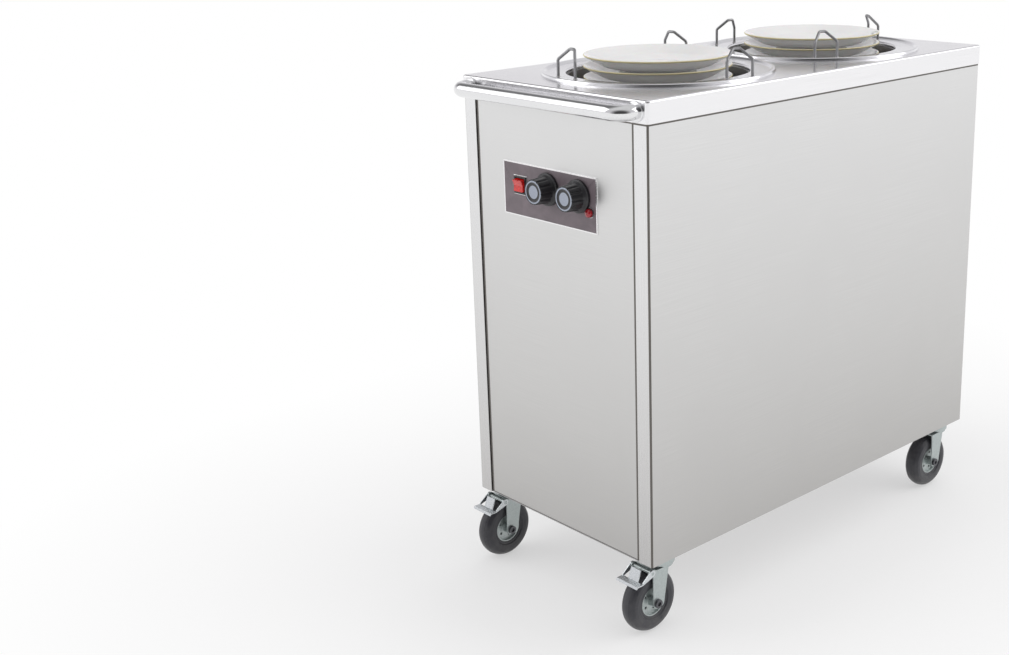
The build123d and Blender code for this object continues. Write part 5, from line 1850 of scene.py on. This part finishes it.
# ------------------------------------------------------------------ controls
@dataclass
class Controls:
    """The control plate with its switch, two dials and lamp."""

    bench: Bench
    rules: Rules
    plate_edge: float = 2.4 * MM
    rocker_ease: float = 0.9 * MM
    lamp_lip: float = 2.1 * MM
    lens_wall: float = 0.3
    lens_steps: int = 12
    spindle_radius: float = 3.0 * MM
    skirt_radius: float = 27.5 * MM
    skirt_depth: float = 5.0 * MM
    grip_radius: float = 22.5 * MM
    grip_length: float = 32.0 * MM
    flutes: int = 12
    flute_depth: float = 1.3 * MM
    cap_well: float = 2.6 * MM
    cap_radius: float = 19.3 * MM
    # The radii between which the cap's groove is painted black as painted shade.
    painted_groove_shade: tuple[float, float] = (10.8 * MM, 16.5 * MM)
    lens_radius: float = 7.0 * MM
    digit_height: float = 2.9 * MM
    dial_sweep: float = radians(270.0)
    first_mark: float = radians(-45.0)
    ticks: int = 28
    digits: int = 9

    def build(self) -> None:
        """Makes every piece of the controls."""
        self.plate()
        self.switch()
        self.lamp()
        for well in ("front", "rear"):
            self.dial(well)

    @property
    def face_y(self) -> float:
        """The front face of the control plate."""
        return Span.of("control_plate").low.y

    def plate(self) -> None:
        """The enamelled plate with its bare edge: the rim is its own band of faces."""
        node = "control_plate"
        nearly_front = self.face_y + 0.1 * MM
        shape = bmesh.new()
        shape.from_mesh(merged_copy(node))
        front = [
            face
            for face in shape.faces
            if face.normal.y < -0.9 and face.calc_center_median().y < nearly_front
        ]
        for face in shape.faces:
            face.material_index = 1
        for face in front:
            face.material_index = 0
        border = bmesh.ops.inset_region(
            shape, faces=front, thickness=self.plate_edge, use_even_offset=True
        )
        for face in border["faces"]:
            face.material_index = 1
        self.bench.set_down(
            "control_face", to_mesh(shape, node), node, [Surface.PANEL_FACE, Surface.PANEL_EDGE]
        )

    def switch(self) -> None:
        """The switch's bezel and its dipped rocker, with rounded long edges."""
        self.bench.copy_node("switch_housing", Surface.BLACK, SMALL_EASE)
        self.bench.copy_node("switch_rocker", Surface.ROCKER_RED, self.rocker_ease)

    def lamp(self) -> None:
        """The pilot lamp: a stepped black bezel and a domed red lens."""
        span = Span.of("lamp_bezel")
        place = Vector((span.centre.x, self.face_y, span.centre.z))
        rim, depth = span.size.x / 2, self.face_y - span.low.y
        barrel = span.high.y - self.face_y
        outline = rounded(
            [
                (0.0, -barrel),
                (rim - self.lamp_lip, -barrel),
                (rim - self.lamp_lip, 0.0),
                (rim, 0.0),
                (rim, depth),
                (0.0, depth),
            ],
            [0.0, 0.3 * MM, 0.0, 0.1 * MM, 0.7 * MM, 0.0],
        )
        bezel = moved(turned_mesh(outline, 64), place, Facing.FORWARD)
        self.bench.set_down("lamp_collar", bezel, "lamp_bezel", [Surface.BLACK])
        lens = Span.of("lamp_lens")
        proud, wall, steps = lens.size.y, self.lens_wall * lens.size.y, self.lens_steps
        dome = [(0.0, 0.0), (self.lens_radius, 0.0), (self.lens_radius, wall)]
        for step in range(1, steps):
            angle = pi / 2 * step / steps
            dome.append((self.lens_radius * cos(angle), wall + (proud - wall) * sin(angle)))
        dome.append((0.0, proud))
        place = Vector((lens.centre.x, lens.high.y, lens.centre.z))
        mesh = moved(turned_mesh(dome, 64), place, Facing.FORWARD)
        self.bench.set_down("lamp_dome", mesh, "lamp_lens", [Surface.LENS_RED])

    def dial(self, well: str) -> None:
        """A dial: fluted grip, skirt with numbers and ticks, and the dished cap.

        Args:
            well: the well that it sets.
        """
        node = "knob_" + well
        span = Span.of(node)
        back = span.low.y + self.grip_length
        tail = span.high.y - back
        shoulder = self.skirt_depth + 4.0 * MM
        floor, recess = self.grip_length - self.cap_well, self.cap_radius + 0.1 * MM
        outline = rounded(
            [
                (0.0, -tail),
                (self.spindle_radius, -tail),
                (self.spindle_radius, 0.0),
                (self.skirt_radius, 0.0),
                (self.skirt_radius, self.skirt_depth - 1.0 * MM),
                (self.grip_radius + 2.6 * MM, self.skirt_depth),
                (self.grip_radius, shoulder),
                (self.grip_radius - 1.5 * MM, self.grip_length),
                (recess, self.grip_length),
                (recess, floor),
                (0.0, floor),
            ],
            [
                0.0, 0.4 * MM, 0.0, 0.6 * MM, 1.0 * MM, 1.5 * MM, 2.0 * MM,
                1.0 * MM, 0.3 * MM, 0.2 * MM, 0.0,
            ],
            5,
        )
        fine = densified(outline, 2.5 * MM)
        inner = self.cap_radius + 0.6 * MM
        start, end = shoulder - 1.0 * MM, shoulder + 3.0 * MM

        def fluted(radius: float, height: float, angle: float) -> float:
            """The radius with flutes that run out at the skirt.

            Args:
                radius: the distance of the outline's point from the axis.
                height: its height.
                angle: how far round it is.
            Returns:
                The radius to use there.
            """
            if radius < inner or height < start:
                return radius
            rise = min(1.0, (height - start) / (end - start))
            scoop = max(0.0, cos(self.flutes * angle)) ** 1.5
            return radius - self.flute_depth * rise * scoop

        place = Vector((span.centre.x, back, span.centre.z))
        grip = moved(turned_mesh(fine, 192, fluted), place, Facing.FORWARD)
        self.bench.set_down("dial_grip_" + well, grip, node, [Surface.BLACK])
        self.cap(well)
        self.dial_marks(well, place)

    def cap(self, well: str) -> None:
        """The spun cap: a bright land, a groove painted black as painted shade, and a dish with a
        small centre.

        Args:
            well: the well that its dial sets.
        """
        node = "knob_cap_" + well
        span = Span.of(node)
        radius, depth = self.cap_radius, span.size.y
        inner, outer = self.painted_groove_shade
        outline = rounded(
            [
                (0.0, 0.0),
                (radius, 0.0),
                (radius, depth - 0.1 * MM),
                (radius - 2.6 * MM, depth),
                (radius - 5.3 * MM, depth - 1.1 * MM),
                (radius - 7.4 * MM, depth - 1.25 * MM),
                (radius - 8.2 * MM, depth - 0.9 * MM),
                (5.0 * MM, depth - 1.9 * MM),
                (0.0, depth - 2.0 * MM),
            ],
            [0.0, 0.2 * MM, 0.6 * MM, 0.8 * MM, 0.4 * MM, 0.4 * MM, 0.5 * MM, 6.0 * MM, 0.0],
            6,
        )
        place = Vector((span.centre.x, span.high.y, span.centre.z))

        def shaded(reach: float, height: float) -> bool:
            """Whether a band of the cap's face lies in its groove, which is painted black as
            painted shade.
            """
            return inner < reach < outer and height > 0.0

        # The groove's band wears the black moulding as painted shade.
        mesh = moved(turned_mesh(outline, 128, marked=shaded), place, Facing.FORWARD)
        self.bench.set_down("dial_cap_" + well, mesh, node, [Surface.CAP, Surface.BLACK])

    def dial_marks(self, well: str, place: Vector) -> None:
        """Plain numbers and ticks printed on the skirt.

        Args:
            well: the well that the dial sets.
            place: the middle of the skirt's back.
        """
        node = "knob_" + well
        sweep, first = self.dial_sweep, self.first_mark
        ticks = self.rules.ticks.run(
            point_mesh([Vector((0.0, 0.0, 0.0))]),
            Count=self.ticks,
            Radius=self.skirt_radius - 0.6 * MM,
            Sweep=sweep,
            Tick_Size=(0.25 * MM, 0.9 * MM, 0.12 * MM),
            Finish=self.bench.materials[Surface.DIAL_INK],
        )
        level = Matrix.Translation((0.0, 0.0, self.skirt_depth - 0.85 * MM))
        ticks.transform(level @ Matrix.Rotation(first, 4, "Z"))
        meshes = [ticks]
        radius, height = self.skirt_radius - 2.5 * MM, self.skirt_depth - 0.3 * MM
        for index in range(self.digits):
            angle = first + sweep * index / (self.digits - 1)
            turn = Matrix.Rotation(angle - pi / 2, 4, "Z")
            spot = Vector((radius * cos(angle), radius * sin(angle), height))
            digit = digit_mesh(str(index + 1), self.digit_height)
            digit.transform(Matrix.Translation(spot) @ turn)
            meshes.append(digit)
        mesh = moved(joined(meshes), place, Facing.FORWARD)
        self.bench.set_down(
            "dial_marks_" + well, mesh, node, [Surface.DIAL_INK], stands_for=False
        )


def densified(outline: Outline, step: float) -> Outline:
    """Adds points on an outline's long straight runs.

    Args:
        outline: the closed outline.
        step: the longest run that stays as it is.
    Returns:
        The outline with its added points.
    """
    result: Outline = []
    count = len(outline)
    for index in range(count):
        here, after = Vector(outline[index]), Vector(outline[(index + 1) % count])
        pieces = max(1, int((after - here).length / step))
        for piece in range(pieces):
            point = here.lerp(after, piece / pieces)
            result.append((point.x, point.y))
    return result


def digit_mesh(text: str, height: float) -> bpy.types.Mesh:
    """A number as a thin raised mesh, centred on the origin.

    Args:
        text: the number.
        height: the height of its figures.
    Returns:
        The mesh.
    """
    curve = bpy.data.curves.new("digit", "FONT")
    curve.body = text
    curve.size = height
    curve.align_x = "CENTER"
    curve.align_y = "CENTER"
    curve.extrude = 0.05 * MM
    curve.resolution_u = 3
    holder = bpy.data.objects.new("digit", curve)
    bpy.context.scene.collection.objects.link(holder)
    graph = bpy.context.evaluated_depsgraph_get()
    mesh = bpy.data.meshes.new_from_object(holder.evaluated_get(graph))
    bpy.data.objects.remove(holder)
    return mesh


# ------------------------------------------------------------------ casters
@dataclass
class Caster:
    """One swivel caster: fork, axle, hub, tyre and, at the operator's end, its brake pedal."""

    bench: Bench
    corner: str
    wheel_radius: float = 54.0 * MM
    half_width: float = 16.0 * MM
    hub_radius: float = 26.0 * MM

    def build(self) -> None:
        """Makes every piece of the caster."""
        corner = self.corner
        self.bench.copy_node("caster_fork_" + corner, Surface.ZINC, THICK_EASE)
        self.bench.copy_node("caster_axle_" + corner, Surface.FASTENER, SMALL_EASE)
        self.bench.copy_node("caster_hub_" + corner, Surface.ZINC, FINE_EASE)
        self.tyre()
        if corner in BRAKED:
            self.bench.copy_node("brake_pedal_" + corner, Surface.ZINC_BRIGHT, SMALL_EASE)

    def tyre(self) -> None:
        """The tyre: a bead ring on each side wall, rounded shoulders and two fine tread lines."""
        node = "caster_tyre_" + self.corner
        radius, half, hub = self.wheel_radius, self.half_width, self.hub_radius
        side = [
            (hub, 12.0 * MM),
            (hub + 3.0 * MM, 13.2 * MM),
            (hub + 5.0 * MM, 13.0 * MM),
            (hub + 6.5 * MM, 15.2 * MM),
            (radius - 14.0 * MM, half),
            (radius - 8.0 * MM, 15.0 * MM),
            (radius - 3.2 * MM, 10.6 * MM),
            (radius - 1.7 * MM, 7.4 * MM),
            (radius - 2.0 * MM, 6.8 * MM),
            (radius - 1.2 * MM, 6.2 * MM),
            (radius, 0.0),
        ]
        soft = [
            0.4 * MM, 0.8 * MM, 0.8 * MM, 1.5 * MM, 3.0 * MM, 5.0 * MM,
            5.0 * MM, 0.3 * MM, 0.2 * MM, 0.3 * MM, 14.0 * MM,
        ]
        mirrored = [(reach, -offset) for reach, offset in reversed(side[:-1])]
        outline = rounded(side + mirrored, soft + list(reversed(soft[:-1])), 5)
        place = Span.of(node).centre
        mesh = moved(turned_mesh(outline, 160), place, Facing.RIGHT)
        self.bench.set_down("rubber_tyre_" + self.corner, mesh, node, [Surface.RUBBER])


# ------------------------------------------------------------------ studio
# The surround's colour by height, from the horizon at 0 to straight up at 1.
SURROUND = (
    (0.0, (1.0, 1.0, 1.0)),
    (0.1, (0.86, 0.855, 0.87)),
    (0.24, (0.68, 0.665, 0.69)),
    (0.5, (0.64, 0.635, 0.65)),
    (1.0, (0.72, 0.72, 0.725)),
)


@dataclass(frozen=True)
class DarkPlace:
    """A part of the surround that gives less light."""

    side: Triple
    spread: Point
    level: float


@dataclass(frozen=True)
class SoftBox:
    """One square area light that points at a target."""

    name: str
    place: Triple
    target: Triple
    size: float
    power: float
    mirrored: bool = True

    def hang(self) -> None:
        """Puts the light in its place."""
        light = bpy.data.lights.new(self.name, "AREA")
        light.size = self.size
        light.energy = self.power
        lamp = bpy.data.objects.new(self.name, light)
        bpy.context.scene.collection.objects.link(lamp)
        aim = (Vector(self.target) - Vector(self.place)).to_track_quat("-Z", "Y")
        lamp.matrix_world = Matrix.Translation(self.place) @ aim.to_matrix().to_4x4()
        lamp.visible_glossy = self.mirrored


# One dark place is behind the camera, and the handle's tube mirrors the other.
DARK_PLACES = (
    DarkPlace((0.735, -0.665, 0.13), (0.6, 0.9), 0.1),
    DarkPlace((-0.68, -0.05, 0.73), (0.8, 0.95), 0.3),
)

# One box off each end of the cart, and one over it that no metal mirrors.
SOFT_BOXES = (
    SoftBox("front_left_box", (-2.7, -2.5, 2.9), (0.0, 0.0, 0.4), 3.0, 36.0),
    SoftBox("rear_right_box", (2.5, 2.7, 2.9), (0.0, 0.0, 0.4), 3.0, 36.0),
    SoftBox("overhead_box", (-0.6, 0.6, 3.2), (0.0, 0.0, 0.8), 2.4, 10.0, mirrored=False),
)


@dataclass
class Studio:
    """Floor, light and camera."""

    focal_pixels: float = 1372.1
    picture_width: float = 1009.0
    sensor: float = 36.0
    shift: tuple[float, float] = (-0.1, -0.08)
    eye: Triple = (1.6548, -1.85245, 1.2115)
    yaw: float = 47.07
    pitch: float = 14.96
    roll: float = -1.08
    floor_radius: float = 60.0
    floor_colour: Colour = (0.93, 0.93, 0.925)
    cart_half: Triple = (0.22, 0.47, 1.0)
    far_floor: tuple[float, float] = (0.12, 0.95)
    near_white: float = 0.5
    diffuse_level: float = 1.28

    def build(self) -> None:
        """Makes the whole studio."""
        self.floor()
        self.world()
        for box in SOFT_BOXES:
            box.hang()
        self.camera()

    def seen(self, sketch: TreeSketch) -> bpy.types.NodeSocket:
        """One for rays that show the surround: from the camera, off metal or through glass.

        Args:
            sketch: the tree that asks.
        Returns:
            A socket with 1 for such rays and 0 for others.
        """
        path = sketch.node("ShaderNodeLightPath").outputs
        direct = sketch.math("MAXIMUM", path["Is Camera Ray"], path["Is Glossy Ray"])
        return sketch.math("MAXIMUM", direct, path["Is Transmission Ray"])

    def floor(self) -> None:
        """A wide white floor that takes the cart's shadow and goes to plain white far away."""
        shape = bmesh.new()
        bmesh.ops.create_circle(shape, cap_ends=True, segments=96, radius=self.floor_radius)
        mesh = to_mesh(shape, "studio_floor")
        material = bpy.data.materials.new("studio_floor")
        material.use_nodes = True
        sketch = TreeSketch(material.node_tree)
        near = material.node_tree.nodes["Principled BSDF"]
        near.inputs["Base Color"].default_value = rgba(self.floor_colour)
        near.inputs["Roughness"].default_value = 0.9
        near.inputs["Specular IOR Level"].default_value = 0.1
        apart = sketch.vector("ABSOLUTE", sketch.place()).outputs["Vector"]
        outside = sketch.vector("SUBTRACT", apart, self.cart_half).outputs["Vector"]
        clear = sketch.vector("MAXIMUM", outside, (0.0, 0.0, 0.0)).outputs["Vector"]
        reach = sketch.vector("LENGTH", clear).outputs["Value"]
        far = sketch.spread(reach, self.near_white, 1.0, *self.far_floor)
        white = sketch.node("ShaderNodeEmission", Color=rgba((1.0, 1.0, 1.0)), Strength=1.0)
        share = sketch.math("MULTIPLY", far, self.seen(sketch))
        mix = sketch.node("ShaderNodeMixShader", Fac=share)
        sketch.feed(mix.inputs[1], near.outputs["BSDF"])
        sketch.feed(mix.inputs[2], white.outputs["Emission"])
        output = material.node_tree.nodes["Material Output"]
        sketch.feed(output.inputs["Surface"], mix.outputs["Shader"])
        mesh.materials.append(material)
        floor = bpy.data.objects.new("studio_floor", mesh)
        bpy.context.scene.collection.objects.link(floor)

    def world(self) -> None:
        """A pale surround, greyer half way up, with two dark places.

        Rays that only light the cart find it a little brighter.
        """
        world = bpy.data.worlds.new("studio_surround")
        bpy.context.scene.world = world
        world.use_nodes = True
        sketch = TreeSketch(world.node_tree)
        place = sketch.node("ShaderNodeTexCoord").outputs["Generated"]
        parts = sketch.node("ShaderNodeSeparateXYZ", Vector=place)
        ramp = sketch.node("ShaderNodeValToRGB", Fac=parts.outputs["Z"])
        band = ramp.color_ramp
        band.elements[0].color = rgba(SURROUND[0][1])
        band.elements[1].color = rgba(SURROUND[-1][1])
        for position, colour in SURROUND[1:-1]:
            band.elements.new(position).color = rgba(colour)
        level = sketch.spread(self.seen(sketch), self.diffuse_level, 1.0)
        for dark in DARK_PLACES:
            toward = sketch.vector("DOT_PRODUCT", place, dark.side).outputs["Value"]
            shade = sketch.spread(toward, 1.0, dark.level, *dark.spread)
            level = sketch.math("MULTIPLY", level, shade)
        background = world.node_tree.nodes["Background"]
        sketch.feed(background.inputs["Color"], ramp.outputs["Color"])
        sketch.feed(background.inputs["Strength"], level)

    def camera(self) -> None:
        """The photograph's eye, height and lens."""
        yaw, pitch, roll = radians(self.yaw), radians(self.pitch), radians(self.roll)
        ahead = Vector((-sin(yaw) * cos(pitch), cos(yaw) * cos(pitch), -sin(pitch)))
        level = Vector((cos(yaw), sin(yaw), 0.0))
        upright = level.cross(ahead)
        right = level * cos(roll) + upright * sin(roll)
        above = upright * cos(roll) - level * sin(roll)
        data = bpy.data.cameras.new("studio_camera")
        data.sensor_width = self.sensor
        data.lens = self.focal_pixels * self.sensor / self.picture_width
        data.shift_x, data.shift_y = self.shift
        data.clip_end = 200.0
        camera = bpy.data.objects.new("studio_camera", data)
        bpy.context.scene.collection.objects.link(camera)
        turn = Matrix((right, above, -ahead)).transposed().to_4x4()
        camera.matrix_world = Matrix.Translation(self.eye) @ turn
        bpy.context.scene.camera = camera


def main() -> None:
    """Builds the studio, then the cart in it."""
    logging.basicConfig(level=logging.INFO, format="%(name)s: %(message)s")
    bench, rules = Bench(), Rules()
    Studio().build()
    Cabinet(bench, rules).build()
    Handle(bench, rules).build()
    wells = {
        "front": Well(bench, rules, "front", (-104.0, 4.0, 124.0), (9.0, -25.0, -25.0)),
        "rear": Well(bench, rules, "rear", (-160.0, -43.0, 85.0), (-25.0, 25.0, -25.0)),
    }
    for well in wells.values():
        well.build()
        Carrier(bench, rules, well).build()
    Innards(bench).build()
    Controls(bench, rules).build()
    bench.copy_node("caster_heads", Surface.ZINC, SMALL_EASE)
    for corner in CORNERS:
        Caster(bench, corner).build()
    bpy.context.scene.view_settings.view_transform = "Standard"
    LOG.info("%d pieces made", len(bench.names))


if __name__ == "__main__":
    main()
